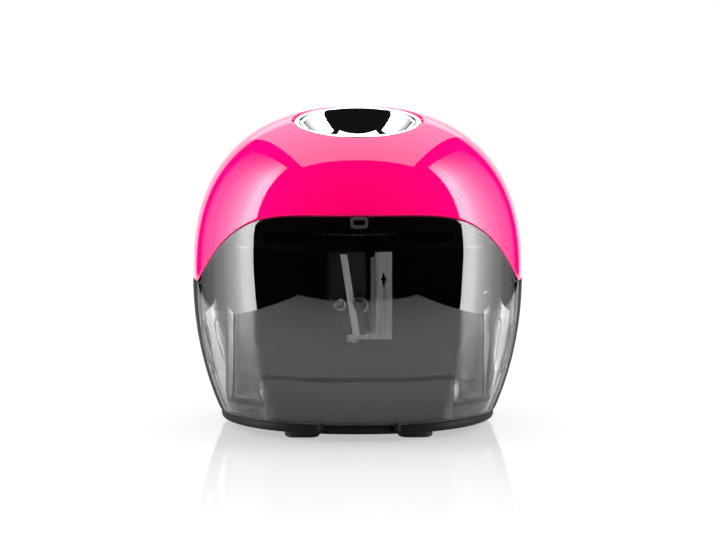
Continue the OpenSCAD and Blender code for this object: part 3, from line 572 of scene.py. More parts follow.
class Tree:
    """A node tree being filled, with short calls for adding and joining nodes."""

    def __init__(self, tree: bpy.types.NodeTree) -> None:
        """Starts on a node tree."""
        self.nodes = tree.nodes
        self.links = tree.links

    def add(self, kind: str, **values: object) -> Node:
        """Adds a node.

        Args:
            kind: Blender's name for the node.
            values: the node's properties.

        Returns:
            The node.
        """
        node = self.nodes.new(kind)
        for key, value in values.items():
            setattr(node, key, value)
        return node

    def feed(self, socket: Socket, value: object) -> None:
        """Links a socket to another one, or sets its value.

        Args:
            socket: the socket to feed.
            value: a socket, or a plain value.
        """
        if isinstance(value, bpy.types.NodeSocket):
            self.links.new(value, socket)
        else:
            socket.default_value = value

    def put(self, node: Node, **inputs: object) -> Node:
        """Feeds a node's inputs.

        Args:
            node: the node.
            inputs: what each input gets, named with _ in place of spaces.

        Returns:
            The node.
        """
        for key, value in inputs.items():
            self.feed(node.inputs[key.replace("_", " ")], value)
        return node

    def use(self, group: bpy.types.NodeTree, **inputs: object) -> Node:
        """Returns a new node that uses a group with these inputs."""
        return self.put(self.add("ShaderNodeGroup", node_tree=group), **inputs)

    def noise(self, **inputs: object) -> Socket:
        """Returns the value of a noise texture with these inputs."""
        return self.put(self.add("ShaderNodeTexNoise"), **inputs).outputs[0]

    def bump(self, **inputs: object) -> Socket:
        """Returns the normal of a bump with these inputs."""
        return self.put(self.add("ShaderNodeBump"), **inputs).outputs[0]

    def glow(self, strength: object) -> Node:
        """Returns a node that gives off white light of this strength."""
        glow = self.add("ShaderNodeEmission")
        return self.put(glow, Color=(1, 1, 1, 1), Strength=strength)

    def apart(self, vector: Socket) -> Node:
        """Takes a vector apart.

        Args:
            vector: the vector.

        Returns:
            A node that gives its X, Y and Z.
        """
        node = self.add("ShaderNodeSeparateXYZ")
        self.feed(node.inputs[0], vector)
        return node

    def math(self, how: str, a: object, b: object) -> Socket:
        """Adds a node for one sum.

        Args:
            how: Blender's name for the sum.
            a: the first term.
            b: the second term.

        Returns:
            The result.
        """
        node = self.add("ShaderNodeMath", operation=how)
        self.feed(node.inputs[0], a)
        self.feed(node.inputs[1], b)
        return node.outputs[0]

    def span(self, value: object, source: Pair, target: Pair = (0.0, 1.0)) -> Socket:
        """Carries a value from one range to another, and holds it inside that one.

        Args:
            value: the value.
            source: the range that it comes from.
            target: the range that it goes to.

        Returns:
            The carried value.
        """
        node = self.put(
            self.add("ShaderNodeMapRange"),
            Value=value,
            From_Min=source[0],
            From_Max=source[1],
            To_Min=target[0],
            To_Max=target[1],
        )
        return node.outputs["Result"]

    def steps(self, value: object, stops: Sequence[Pair]) -> Socket:
        """Reads a value from a ramp.

        Args:
            value: the place on the ramp.
            stops: (place, grey level) from the ramp's start to its end.

        Returns:
            The level at the value's place.
        """
        node = self.add("ShaderNodeValToRGB")
        ramp = node.color_ramp
        for element, (place, level) in zip(ramp.elements, (stops[0], stops[-1])):
            element.position = place
            element.color = (level, level, level, 1)
        for place, level in stops[1:-1]:
            ramp.elements.new(place).color = (level, level, level, 1)
        self.put(node, Fac=value)
        return node.outputs["Color"]

    def mix(self, what: Mixed, share: object, first: object, second: object) -> Socket:
        """Mixes two colours or two numbers.

        Args:
            what: whether they are colours or numbers.
            share: the second one's share.
            first: the first one.
            second: the second one.

        Returns:
            The mixed colour or number.
        """
        data_type, inputs, output = what.value
        node = self.add("ShaderNodeMix", data_type=data_type)
        for index, value in zip(inputs, (share, first, second)):
            self.feed(node.inputs[index], value)
        return node.outputs[output]

    def either(self, share: object, first: Node, second: Node) -> Node:
        """Mixes two shaders.

        Args:
            share: the second one's share.
            first: the first shader.
            second: the second shader.

        Returns:
            The node that mixes them.
        """
        node = self.add("ShaderNodeMixShader")
        for index, value in enumerate((share, first.outputs[0], second.outputs[0])):
            self.feed(node.inputs[index], value)
        return node

    def end(self, shader: Node, kind: str = "ShaderNodeOutputMaterial") -> Node:
        """Adds the tree's output and gives it a shader as its surface.

        Args:
            shader: the shader.
            kind: Blender's name for the output node.

        Returns:
            The output node.
        """
        out = self.add(kind)
        self.feed(out.inputs["Surface"], shader.outputs[0])
        return out


class Effects:
    """Node groups that the finishes share. Each is made when it is first used."""

    wave_height = 0.0006
    grain_height = 0.00006
    line_height = 0.00004
    surface_outputs = {"Normal": "NodeSocketVector", "Mask": "NodeSocketFloat"}

    @staticmethod
    def start(
        name: str, inputs: dict[str, float], outputs: dict[str, str]
    ) -> tuple[bpy.types.NodeTree, Tree, Node, Node]:
        """Starts a group with a Vector input and number inputs.

        Args:
            name: the group's name.
            inputs: the number inputs, with their usual values.
            outputs: the outputs, with their kinds of socket.

        Returns:
            The group, its tree, its input node and its output node.
        """
        group = bpy.data.node_groups.new(name, "ShaderNodeTree")
        face = group.interface
        face.new_socket("Vector", in_out="INPUT", socket_type="NodeSocketVector")
        for key, value in inputs.items():
            socket = face.new_socket(key, in_out="INPUT", socket_type="NodeSocketFloat")
            socket.default_value = value
        for key, kind in outputs.items():
            face.new_socket(key, in_out="OUTPUT", socket_type=kind)
        tree = Tree(group)
        return group, tree, tree.add("NodeGroupInput"), tree.add("NodeGroupOutput")

    @staticmethod
    @cache
    def moulded() -> bpy.types.NodeTree:
        """Makes the soft waves and fine grain of a moulded surface.

        Returns:
            The group, which gives a normal and a mask.
        """
        group, tree, given, out = Effects.start(
            "moulded_surface",
            {"Grain Scale": 900.0, "Grain": 0.1, "Wave Scale": 60.0, "Wave": 0.02},
            Effects.surface_outputs,
        )
        place = given.outputs["Vector"]
        grain = tree.noise(Vector=place, Scale=given.outputs["Grain Scale"], Detail=3.0)
        wave = tree.noise(Vector=place, Scale=given.outputs["Wave Scale"], Detail=1.0)
        low = tree.bump(
            Strength=given.outputs["Wave"], Distance=Effects.wave_height, Height=wave
        )
        high = tree.bump(
            Strength=given.outputs["Grain"],
            Distance=Effects.grain_height,
            Height=grain,
            Normal=low,
        )
        tree.put(out, Normal=high, Mask=tree.span(wave, (0.35, 0.65)))
        return group

    @staticmethod
    @cache
    def brushed() -> bpy.types.NodeTree:
        """Makes the fine lines left by grinding.

        Returns:
            The group, which gives a normal and a mask.
        """
        group, tree, given, out = Effects.start(
            "brushed_grain",
            {"Along": 60.0, "Across": 2600.0, "Depth": 0.2},
            Effects.surface_outputs,
        )
        across, along = given.outputs["Across"], given.outputs["Along"]
        size = tree.put(tree.add("ShaderNodeCombineXYZ"), X=across, Y=across, Z=along)
        stretched = tree.add("ShaderNodeVectorMath", operation="MULTIPLY")
        tree.feed(stretched.inputs[0], given.outputs["Vector"])
        tree.feed(stretched.inputs[1], size.outputs[0])
        lines = tree.noise(Vector=stretched.outputs[0], Scale=1.0, Detail=2.0)
        bump = tree.bump(
            Strength=given.outputs["Depth"], Distance=Effects.line_height, Height=lines
        )
        tree.put(out, Normal=bump, Mask=tree.span(lines, (0.3, 0.7)))
        return group

    @staticmethod
    @cache
    def handled() -> bpy.types.NodeTree:
        """Makes sparse dust and faint handling marks.

        Returns:
            The group, which gives a mask.
        """
        group, tree, given, out = Effects.start(
            "handling_marks",
            {"Scale": 120.0, "Sparse": 0.62},
            {"Mask": "NodeSocketFloat"},
        )
        wide = tree.noise(
            Vector=given.outputs["Vector"],
            Scale=given.outputs["Scale"],
            Detail=4.0,
            Roughness=0.6,
        )
        over = tree.math("SUBTRACT", wide, given.outputs["Sparse"])
        tree.put(out, Mask=tree.span(over, (0.0, 0.2)))
        return group


def start(name: str) -> tuple[Material, Tree, Socket]:
    """Starts an empty material.

    Args:
        name: the material's name.

    Returns:
        The material, its tree and the object's own coordinates.
    """
    material = bpy.data.materials.new(name)
    material.use_nodes = True
    material.node_tree.nodes.clear()
    tree = Tree(material.node_tree)
    return material, tree, tree.add("ShaderNodeTexCoord").outputs["Object"]


@dataclass(frozen=True)
class Plastic(Finish):
    """Moulded plastic or rubber, from high gloss to a fine matt texture."""

    grain: float = 0.1
    wave: float = 0.02
    coat: float = 0.0
    coat_roughness: float = 0.015
    coat_ior: float = 1.5
    shade: float = 0.06
    ior: float = 1.49
    shine: float = 0.5
    wear: float = 1.25
    least_wear: float = 0.005

    def build(self) -> Material:
        """Makes the plastic's material.

        Returns:
            The material.
        """
        material, tree, place = start(self.name)
        surface = tree.use(
            Effects.moulded(), Vector=place, Grain=self.grain, Wave=self.wave
        )
        marks = tree.use(Effects.handled(), Vector=place)
        mask = surface.outputs["Mask"]
        worn = self.roughness * self.wear + self.least_wear
        shader = tree.put(
            tree.add("ShaderNodeBsdfPrincipled"),
            Base_Color=tree.mix(
                Mixed.COLOUR, mask, self.tone(), self.tone(1 - self.shade)
            ),
            Roughness=tree.span(marks.outputs["Mask"], (0, 1), (self.roughness, worn)),
            IOR=self.ior,
            Specular_IOR_Level=self.shine * (1 - self.coat),
            Normal=surface.outputs["Normal"],
        )
        if self.coat:
            tree.put(
                shader,
                Coat_Weight=self.coat,
                Coat_Roughness=self.coat_roughness,
                Coat_IOR=self.coat_ior,
            )
        tree.end(shader)
        return material


@dataclass(frozen=True)
class Metal(Finish):
    """Bare, ground or plated metal."""

    grain: float = 0.25
    along: float = 60.0
    shade: float = 0.12
    wear: float = 1.3

    def build(self) -> Material:
        """Makes the metal's material.

        Returns:
            The material.
        """
        material, tree, place = start(self.name)
        surface = tree.use(
            Effects.brushed(), Vector=place, Along=self.along, Depth=self.grain
        )
        mask = surface.outputs["Mask"]
        worn = self.roughness * self.wear
        shader = tree.put(
            tree.add("ShaderNodeBsdfPrincipled"),
            Base_Color=tree.mix(
                Mixed.COLOUR, mask, self.tone(), self.tone(1 - self.shade)
            ),
            Metallic=1.0,
            Roughness=tree.span(mask, (0, 1), (self.roughness, worn)),
            Normal=surface.outputs["Normal"],
        )
        tree.end(shader)
        return material


@dataclass(frozen=True)
class Smoked(Finish):
    """Clear plastic with a grey tint that its thickness deepens.

    Shadow rays pass its surface unbent, so that the lamps light what stands inside.
    """

    tint: Point = (0.0, 0.0, 0.0)
    density: float = 130.0
    ior: float = 1.58
    wave: float = 0.006
    mark_scale: float = 90.0
    mark_tone: float = 0.96
    mark_roughness: float = 0.01

    def build(self) -> Material:
        """Makes the window's material.

        Returns:
            The material.
        """
        material, tree, place = start(self.name)
        surface = tree.use(Effects.moulded(), Vector=place, Grain=0.0, Wave=self.wave)
        marks = tree.use(Effects.handled(), Vector=place, Scale=self.mark_scale)
        mask = marks.outputs["Mask"]
        marked = self.roughness + self.mark_roughness
        glass = tree.put(
            tree.add("ShaderNodeBsdfPrincipled"),
            Base_Color=tree.mix(
                Mixed.COLOUR, mask, self.tone(), self.tone(self.mark_tone)
            ),
            Roughness=tree.span(mask, (0, 1), (self.roughness, marked)),
            IOR=self.ior,
            Transmission_Weight=1.0,
            Metallic=0.0,
            Normal=surface.outputs["Normal"],
        )
        clear = tree.put(
            tree.add("ShaderNodeBsdfTransparent"), Color=(1.0, 1.0, 1.0, 1.0)
        )
        shadow = tree.add("ShaderNodeLightPath").outputs["Is Shadow Ray"]
        out = tree.end(tree.either(shadow, glass, clear))
        body = tree.put(
            tree.add("ShaderNodeVolumeAbsorption"),
            Color=(*self.tint, 1.0),
            Density=self.density,
        )
        tree.feed(out.inputs["Volume"], body.outputs[0])
        return material


class Finishes:
    """The finishes of the whole object, by name."""

    pink = Plastic(
        "gloss_pink", (0.93, 0.0004, 0.135), 0.2, 0.0, 0.012, coat=1.0, shade=0.02
    )
    chrome = Metal("polished_chrome", (0.86, 0.87, 0.89), 0.03, grain=0.01, shade=0.02)
    housing = Plastic(
        "housing_black", (0.004, 0.004, 0.0045), 0.5, 0.2, 0.02, shine=0.05
    )
    black_fine = Plastic(
        "textured_black", (0.006, 0.006, 0.0065), 0.5, 0.35, 0.02, shine=0.14
    )
    inner_black = Plastic(
        "inner_black", (0.004, 0.004, 0.0045), 0.5, 0.25, 0.02, shine=0.2
    )
    # Black plastic of the gear deck, made darker than the other blacks as painted shade,
    # so that the deck merges with the unlit dark inside the window.
    deck = Plastic("deck_black_painted_shade", (0.0012, 0.0012, 0.0014), 0.5, 0.2, 0.02, shine=0.05)
    rubber = Plastic("foot_rubber", (0.02, 0.02, 0.021), 0.65, 0.4, 0.03)
    window = Smoked("smoked_plastic", (0.98, 0.98, 0.98), 0.0, (0.0, 0.0, 0.03))
    frosted = Plastic("frosted_tab", (0.03, 0.03, 0.032), 0.45, 0.3, 0.03)
    steel = Metal("ground_steel", (0.98, 0.97, 0.97), 0.98, grain=0.6, shade=0.16)
    blade = Metal("honed_steel", (0.98, 0.97, 0.96), 0.85, grain=0.4, shade=0.1)
    screw = Metal("zinc_plate", (0.85, 0.85, 0.86), 0.26, grain=0.1)
    casting = Metal("die_casting", (0.05, 0.051, 0.055), 0.42, grain=0.3, shade=0.3)
    nickel = Metal("nickel_plate", (0.7, 0.68, 0.62), 0.25)
    bronze = Metal("sintered_bronze", (0.6, 0.42, 0.2), 0.4)
    brass = Metal("turned_brass", (0.75, 0.58, 0.25), 0.2)
    can = Metal("plated_can", (0.66, 0.67, 0.69), 0.3)
    ferrite = Plastic("ferrite", (0.03, 0.03, 0.033), 0.7, 0.5, 0.03)
    copper = Metal("wound_copper", (0.6, 0.25, 0.12), 0.35)
    acetal = Plastic("white_acetal", (0.72, 0.72, 0.68), 0.4, 0.1, 0.02)
    ivory = Plastic("ivory_plastic", (0.7, 0.67, 0.58), 0.45, 0.15, 0.02)
    red = Plastic("red_plastic", (0.5, 0.02, 0.015), 0.35, 0.1, 0.02)
    jacket = Plastic("cell_jacket", (0.42, 0.14, 0.03), 0.25, 0.02, 0.02, coat=0.4)


Row = tuple[str, str, Finish, str, float]


class Assembly:
    """Base of a group of pieces that it builds, dresses and hangs on a body."""

    part = Part.ROOT

    def place(self, obj: Object, finish: Finish, slot: str, *nodes: str) -> Object:
        """Finishes a piece and hands it to the frame.

        Args:
            obj: the piece, at the origin.
            finish: its finish.
            slot: the record's material slot; not used.
            nodes: CAD nodes that the piece stands for.

        Returns:
            The piece.
        """
        dress(obj, finish)
        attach(obj, self.part.value)
        if nodes:
            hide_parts(*nodes)
        LOG.info("built %s: %d faces", obj.name, len(obj.data.polygons))
        return obj

    def build(self, nodes: dict[str, Object]) -> None:
        """Builds the assembly from code and from the CAD nodes it stands for."""
        raise NotImplementedError


def face_out(sheet: Object) -> Object:
    """Turns an open sheet's faces away from the body's axis.

    Args:
        sheet: the sheet.

    Returns:
        The sheet.
    """
    face = max(sheet.data.polygons, key=lambda f: f.center.x**2 + f.center.y**2)
    if face.normal.dot(Vector((face.center.x, face.center.y, 0))) < 0:
        with Bench.editing(sheet):
            bpy.ops.mesh.flip_normals()
    return sheet


def skin(
    name: str,
    size: tuple[int, int],
    angles: Callable[[float], Pair],
    top: Callable[[float], float],
    wall: float,
) -> Object:
    """Makes a wall that follows the body's surface, up from its lower edge.

    Args:
        name: the piece's name.
        size: faces round the wall and up it.
        angles: gives the first and last plan angle at a height.
        top: gives the upper edge's height for a distance x from the middle.
        wall: thickness, in millimetres, inwards.

    Returns:
        The closed wall.
    """
    base = BODY.shell_z
    tops: dict[float, float] = {}

    def at(share: float, z: float) -> Vector:
        """Gives a point of the surface, with more points near the wall's ends.

        Args:
            share: share of the way round the wall.
            z: the height.

        Returns:
            The point.
        """
        first, last = angles(z)
        bent = (1 - math.cos(math.pi * share)) / 2
        return BODY.point(first + (last - first) * bent, z)

    def place(along: float, up: float) -> Vector:
        """Gives a point of the wall's outer face.

        Args:
            along: share of the way round the wall.
            up: share of the way up to the upper edge there.

        Returns:
            The point.
        """
        key = round(along, 6)
        if key not in tops:
            tops[key] = seek(
                lambda z: z <= top(at(along, z).x), base, BODY.belt_z + BODY.rise
            )
        return at(along, base + (tops[key] - base) * up)

    sheet = Bench.grid(name, *size, place)
    with Bench.editing(sheet):
        bpy.ops.mesh.normals_make_consistent(inside=False)
    return Bench.thicken(face_out(sheet), wall)


def merged_copy(node: Object, name: str) -> Object:
    """Copies a CAD node's shape as one closed mesh.

    Args:
        node: the CAD node.
        name: the new piece's name.

    Returns:
        The new piece.
    """
    Bench.clear()
    obj = bpy.data.objects.new(name, node.data.copy())
    bpy.context.scene.collection.objects.link(obj)
    obj.data.name = name
    obj.data.materials.clear()
    return Bench.tidy(obj, MERGE_SAME)


def body_volume(name: str, inset: float, low: float, high: float) -> Object:
    """Makes a solid that fills the body between two heights.

    Args:
        name: the piece's name.
        inset: distance of its sides inside the body's surface.
        low: the height of its foot.
        high: the height of its top.

    Returns:
        The closed solid.
    """
    columns, rows = 120, 24

    def place(along: float, up: float) -> Vector:
        """Gives a point of the solid's side.

        Args:
            along: share of the way round.
            up: share of the way up.

        Returns:
            The point.
        """
        z = low + (high - low) * up
        p = BODY.point(2 * math.pi * along - math.pi, z)
        flat = Vector((p.x, p.y, 0))
        return Vector((*(flat * (1 - inset / flat.length)).to_2d(), z))

    obj = Bench.grid(name, columns, rows, place)
    with Bench.editing(obj):
        bpy.ops.mesh.remove_doubles(threshold=MERGE_SEAM * MM)
        bpy.ops.mesh.fill_holes(sides=0)
        bpy.ops.mesh.normals_make_consistent(inside=False)
    return obj


def inside_of(node: Object, name: str, inset: float) -> Object:
    """Copies the lower part of a CAD node's shape, cut clear of the curved skin.

    Args:
        node: the CAD node.
        name: the new piece's name.
        inset: distance kept from the body's surface.

    Returns:
        The new piece.
    """
    below, top = 1.0, 60.0
    piece = merged_copy(node, name)
    limit = body_volume("inner_limit", inset, BODY.shell_z - below, top)
    return Bench.combine(piece, limit, Join.KEEP)


def eased(node: Object, name: str, width: float) -> Object:
    """Copies a CAD node's shape and rounds its sharp edges.

    Args:
        node: the CAD node.
        name: the new piece's name.
        width: width of the rounding, in millimetres.

    Returns:
        The new piece.
    """
    flat_angle, shade_angle = 1, 30
    obj = merged_copy(node, name)
    with Bench.editing(obj):
        bpy.ops.mesh.dissolve_limited(angle_limit=math.radians(flat_angle))
    Bench.round_edges(obj, Rounding(width, 2, 35, clamp=False))
    return Bench.smooth(obj, shade_angle)


@dataclass
class Cover(Assembly):
    """The domed cover with the chrome funnel in its crown. Sizes in millimetres."""

    size: tuple[int, int] = (256, 60)
    wall: float = 2.4
    edge: Rounding = Rounding(0.3, 3, 50)
    shade_angle: float = 40
    arch_climb: float = 1.2
    bowl_steps: int = 40
    lip_steps: int = 20
    lip_start: float = -60
    lip_turn: float = 240
    ring_steps: int = 288
    ring_shade_angle: float = 50

    def build(self, nodes: dict[str, Object]) -> None:
        """Builds the cover's shell and the funnel.

        Args:
            nodes: the CAD nodes, by name.
        """
        shell = Bench.round_edges(self.shell(), self.edge)
        shell = Bench.smooth(shell, self.shade_angle)
        self.place(shell, Finishes.pink, "top_cover", "top_cover")
        self.place(self.funnel(), Finishes.chrome, "funnel", "funnel")

    def shell(self) -> Object:
        """Makes the dome, open at the funnel and over the window.

        Returns:
            The closed wall of the dome.
        """
        edges: dict[float, Pair] = {}

        def at(along: float, climb: float) -> Vector:
            """Gives a point of the dome.

            Args:
                along: share of the way round.
                climb: angle from the belt to the crown.

            Returns:
                The point.
            """
            x, y = BODY.plan(2 * math.pi * along - math.pi)
            share = math.cos(climb) ** (2 / BODY.shoulder_power)
            z = BODY.belt_z + BODY.rise * math.sin(climb) ** (2 / BODY.rise_power)
            return Vector((x * share, y * share, z))

        def limits(along: float) -> Pair:
            """Finds where the wall starts and ends.

            Args:
                along: share of the way round.

            Returns:
                The climb angles of the lower edge and of the funnel's hole.
            """
            foot = seek(lambda c: at(along, c).z < BODY.cover_z, 0, math.pi / 2)
            if at(along, foot).y < BODY.split_y:
                foot = seek(
                    lambda c: at(along, c).z < BODY.arch(at(along, c).x),
                    foot,
                    self.arch_climb,
                )
            gap = FUNNEL.rim_r + FUNNEL.hole_gap
            crown = seek(lambda c: FUNNEL.distance(at(along, c)) > gap, foot, math.pi / 2)
            return foot, crown

        def place(along: float, up: float) -> Vector:
            """Gives a point of the wall's outer face.

            Args:
                along: share of the way round.
                up: share of the way from the lower edge to the hole.

            Returns:
                The point.
            """
            key = round(along, 6)
            if key not in edges:
                edges[key] = limits(along)
            foot, crown = edges[key]
            return at(along, foot + (crown - foot) * up)

        sheet = Bench.grid("cover_shell", *self.size, place)
        return Bench.thicken(face_out(Bench.tidy(sheet, MERGE_CUT)), self.wall)

    def funnel(self) -> Object:
        """Makes the turned chrome funnel: a round lip and a bowl down to the throat.

        Returns:
            The funnel.
        """
        f = FUNNEL
        edge_r = f.rim_r - 2 * f.lip
        centre = math.sqrt(f.bowl_r**2 - edge_r**2) - f.lip
        steps = self.bowl_steps

        def arc(ball_r: float, first_r: float, last_r: float) -> list[Pair]:
            """Gives part of a sphere's profile.

            Args:
                ball_r: the sphere's radius.
                first_r: the part's first distance from the axis.
                last_r: its last distance from the axis.

            Returns:
                The part's points (radius, height), in order.
            """
            first, last = math.asin(first_r / ball_r), math.asin(last_r / ball_r)
            turns = [first + (last - first) * i / steps for i in range(steps + 1)]
            return [(ball_r * math.sin(t), centre - ball_r * math.cos(t)) for t in turns]

        bowl = arc(f.bowl_r, edge_r, f.throat_r)
        under = arc(f.bowl_r + f.wall, f.throat_r, edge_r)
        lip_turns = [
            math.radians(self.lip_start + self.lip_turn * i / self.lip_steps)
            for i in range(self.lip_steps)
        ]
        lip = [
            (f.rim_r - f.lip + f.lip * math.cos(t), -f.lip + f.lip * math.sin(t))
            for t in lip_turns
        ]
        ring = Bench.turned("funnel_ring", lip + bowl + under, self.ring_steps)
        ring.matrix_world = f.frame()
        return Bench.smooth(Bench.settle(ring), self.ring_shade_angle)


@dataclass
class Container(Assembly):
    """The smoked container: a curved window in front of a tray with a raised floor.

    Sizes are in millimetres. The tab's heights are measured from the window's top.
    """

    part = Part.CONTAINER
    size: tuple[int, int] = (144, 64)
    wall: float = 2.4
    edge: Rounding = Rounding(0.7, 4, 60)
    shade_angle: float = 32
    tray_inset: float = 1.2
    tab_w: float = 5.4
    tab_h: float = 3.4
    tab_out: float = 0.6
    tab_rim: float = 0.9
    tab_gap: float = 0.05
    tab_sink: float = 0.05
    tab_reach: float = 0.6
    tab_edge: Rounding = Rounding(1.1, 4, 40)
    tab_rim_edge: Rounding = Rounding(0.3, 3, 40)
    tab_limit: Pair = (-10, 2)
    tab_back: Pair = (-12, 3)
    tab_well_front: float = 2
    grip_z: float = 18.0
    grip_h: float = 17.0
    grip_w: float = 6.4
    grip_depth: float = 1.1
    grip_back: float = 1.2
    grip_in: float = 4
    grip_length: float = 12
    grip_sides: int = 40
    grip_ribs: int = 4
    rib_half_length: float = 7
    rib_half_w: float = 0.3

    def build(self, nodes: dict[str, Object]) -> None:
        """Builds the window, its tray, the latch tab and the ribbed grips.

        Args:
            nodes: the CAD nodes, by name.
        """
        front = self.front()
        tray = inside_of(nodes["shavings_container"], "container_tray", self.tray_inset)
        both = Bench.combine(front, tray, Join.ADD)
        for side in (-1, 1):
            both = Bench.combine(both, self.grip(side), Join.CUT)
        both.name = both.data.name = "clear_drawer"
        Bench.smooth(Bench.tidy(both, MERGE_CUT), self.shade_angle)
        self.place(both, Finishes.window, "smoked_window", "shavings_container")
        self.place(self.tab(), Finishes.frosted, "smoked_window")

    def tab(self) -> Object:
        """Makes the latch tab, a rim that stands out at the top of the window.

        Returns:
            The tab.
        """
        top = BODY.cover_z + BODY.arch_rise - BODY.gap
        half, inner = self.tab_w / 2, self.tab_w / 2 - self.tab_rim
        foot, back = top - self.tab_h, -BODY.half_d * self.tab_reach
        tab = Bench.box(
            "latch_tab", (-half, -BODY.half_d, foot), (half, back, top - self.tab_gap)
        )
        tab = Bench.round_edges(tab, self.tab_edge)
        low, high = self.tab_limit
        limit = body_volume("tab_limit", -self.tab_out, top + low, top + high)
        tab = Bench.combine(tab, limit, Join.KEEP)
        low, high = self.tab_back
        behind = body_volume("tab_back", self.tab_sink, top + low, top + high)
        tab = Bench.combine(tab, behind, Join.CUT)
        well = Bench.box(
            "tab_well",
            (-inner, -BODY.half_d - self.tab_well_front, foot + self.tab_rim),
            (inner, back, top - self.tab_rim),
        )
        tab = Bench.combine(tab, well, Join.CUT)
        return Bench.round_edges(tab, self.tab_rim_edge)

    def grip(self, side: int) -> Object:
        """Makes the shape that is cut from one side for a ribbed finger grip.

        Args:
            side: -1 for the left side and 1 for the right one.

        Returns:
            The shape: an upright stadium with its ribs taken out.
        """
        r, length, sides = self.grip_w / 2, self.grip_length, self.grip_sides
        edge_y = BODY.split_y - self.grip_back
        x, y = side * (BODY.half_w - self.grip_in), edge_y - r
        low, high = self.grip_z + r, self.grip_z + self.grip_h - r
        stadium = Bench.rod("grip_cut", (x, y, low), r, length, sides)
        upper = Bench.rod("grip_top", (x, y, high), r, length, sides)
        stadium = Bench.combine(stadium, upper, Join.ADD)
        middle = Bench.box(
            "grip_mid", (x - length / 2, y - r, low), (x + length / 2, y + r, high)
        )
        stadium = Bench.combine(stadium, middle, Join.ADD)
        keep = body_volume("grip_floor", self.grip_depth, BODY.shell_z, BODY.cover_z)
        stadium = Bench.combine(stadium, keep, Join.CUT)
        for i in range(1, self.grip_ribs + 1):
            rib_y = edge_y - self.grip_w * i / (self.grip_ribs + 1)
            rib = Bench.box(
                "grip_rib",
                (x - self.rib_half_length, rib_y - self.rib_half_w, low - 2 * r),
                (x + self.rib_half_length, rib_y + self.rib_half_w, high + 2 * r),
            )
            stadium = Bench.combine(stadium, rib, Join.CUT)
        return stadium

    def front(self) -> Object:
        """Makes the curved front wall up to the arch.

        Returns:
            The wall, with its edges rounded.
        """

        def angles(z: float) -> Pair:
            """Gives the plan angles of the wall's two ends.

            Args:
                z: the height.

            Returns:
                The left end's angle and the right end's.
            """
            y = BODY.split_y - BODY.gap
            return BODY.angle_at(y, z, -1) - 2 * math.pi, BODY.angle_at(y, z, 1)

        def top(x: float) -> float:
            """Returns the height of the wall's upper edge, at x from the middle."""
            return BODY.arch(x) - BODY.gap

        wall = skin("window_front", self.size, angles, top, self.wall)
        return Bench.round_edges(wall, self.edge)


@dataclass
class Housing(Assembly):
    """The black rear housing with its inner posts. Sizes in millimetres."""

    size: tuple[int, int] = (176, 32)
    wall: float = 2.2
    edge: Rounding = Rounding(0.25, 2, 60)
    shade_angle: float = 32
    post_inset: float = 1.1

    def build(self, nodes: dict[str, Object]) -> None:
        """Builds the curved wall and joins the inner posts to it.

        Args:
            nodes: the CAD nodes, by name.
        """

        def angles(z: float) -> Pair:
            """Returns the plan angles of the wall's right and left ends."""
            return BODY.angle_at(BODY.split_y, z, 1), BODY.angle_at(BODY.split_y, z, -1)

        def top(x: float) -> float:
            """Returns the height of the wall's upper edge, which is level."""
            return BODY.cover_z - BODY.gap

        wall = skin("rear_shell", self.size, angles, top, self.wall)
        wall = Bench.round_edges(wall, self.edge)
        inner = inside_of(nodes["rear_housing"], "housing_posts", self.post_inset)
        both = Bench.combine(wall, inner, Join.ADD)
        Bench.smooth(Bench.tidy(both, MERGE_CUT), self.shade_angle)
        self.place(both, Finishes.housing, "rear_housing", "rear_housing")


@dataclass
class Kit(Assembly):
    """A sub-assembly whose pieces are CAD shapes with their edges rounded.

    Each row gives a piece's name, CAD node, finish, slot and edge width in millimetres.
    """

    pieces: tuple[Row, ...] = ()

    def build(self, nodes: dict[str, Object]) -> None:
        """Builds the piece of each row."""
        for name, node, finish, slot, width in self.pieces:
            self.place(eased(nodes[node], name, width), finish, slot, node)


@dataclass
class Base(Kit):
    """The base plate on its four feet."""

    pieces: tuple[Row, ...] = (
        ("base_pan", "base_plate", Finishes.black_fine, "base_plate", 0.5),
        ("rubber_feet", "feet", Finishes.rubber, "feet", 0.9),
    )


@dataclass
class Cutter(Kit):
    """The turning cutter: block, blade, screws, post and carrier."""

    part = Part.CUTTER
    pieces: tuple[Row, ...] = (
        ("carrier_plate", "cutter_carrier", Finishes.steel, "cutter_steel", 0.15),
        ("cast_block", "cutter_block", Finishes.casting, "cutter_block", 0.2),
        ("ground_blade", "blade", Finishes.blade, "blade", 0.12),
        ("blade_screw_pair", "blade_screws", Finishes.screw, "screws", 0.5),
        ("ground_post", "support_post", Finishes.steel, "cutter_steel", 0.3),
        ("post_screw_pair", "post_screws", Finishes.screw, "screws", 0.15),
    )


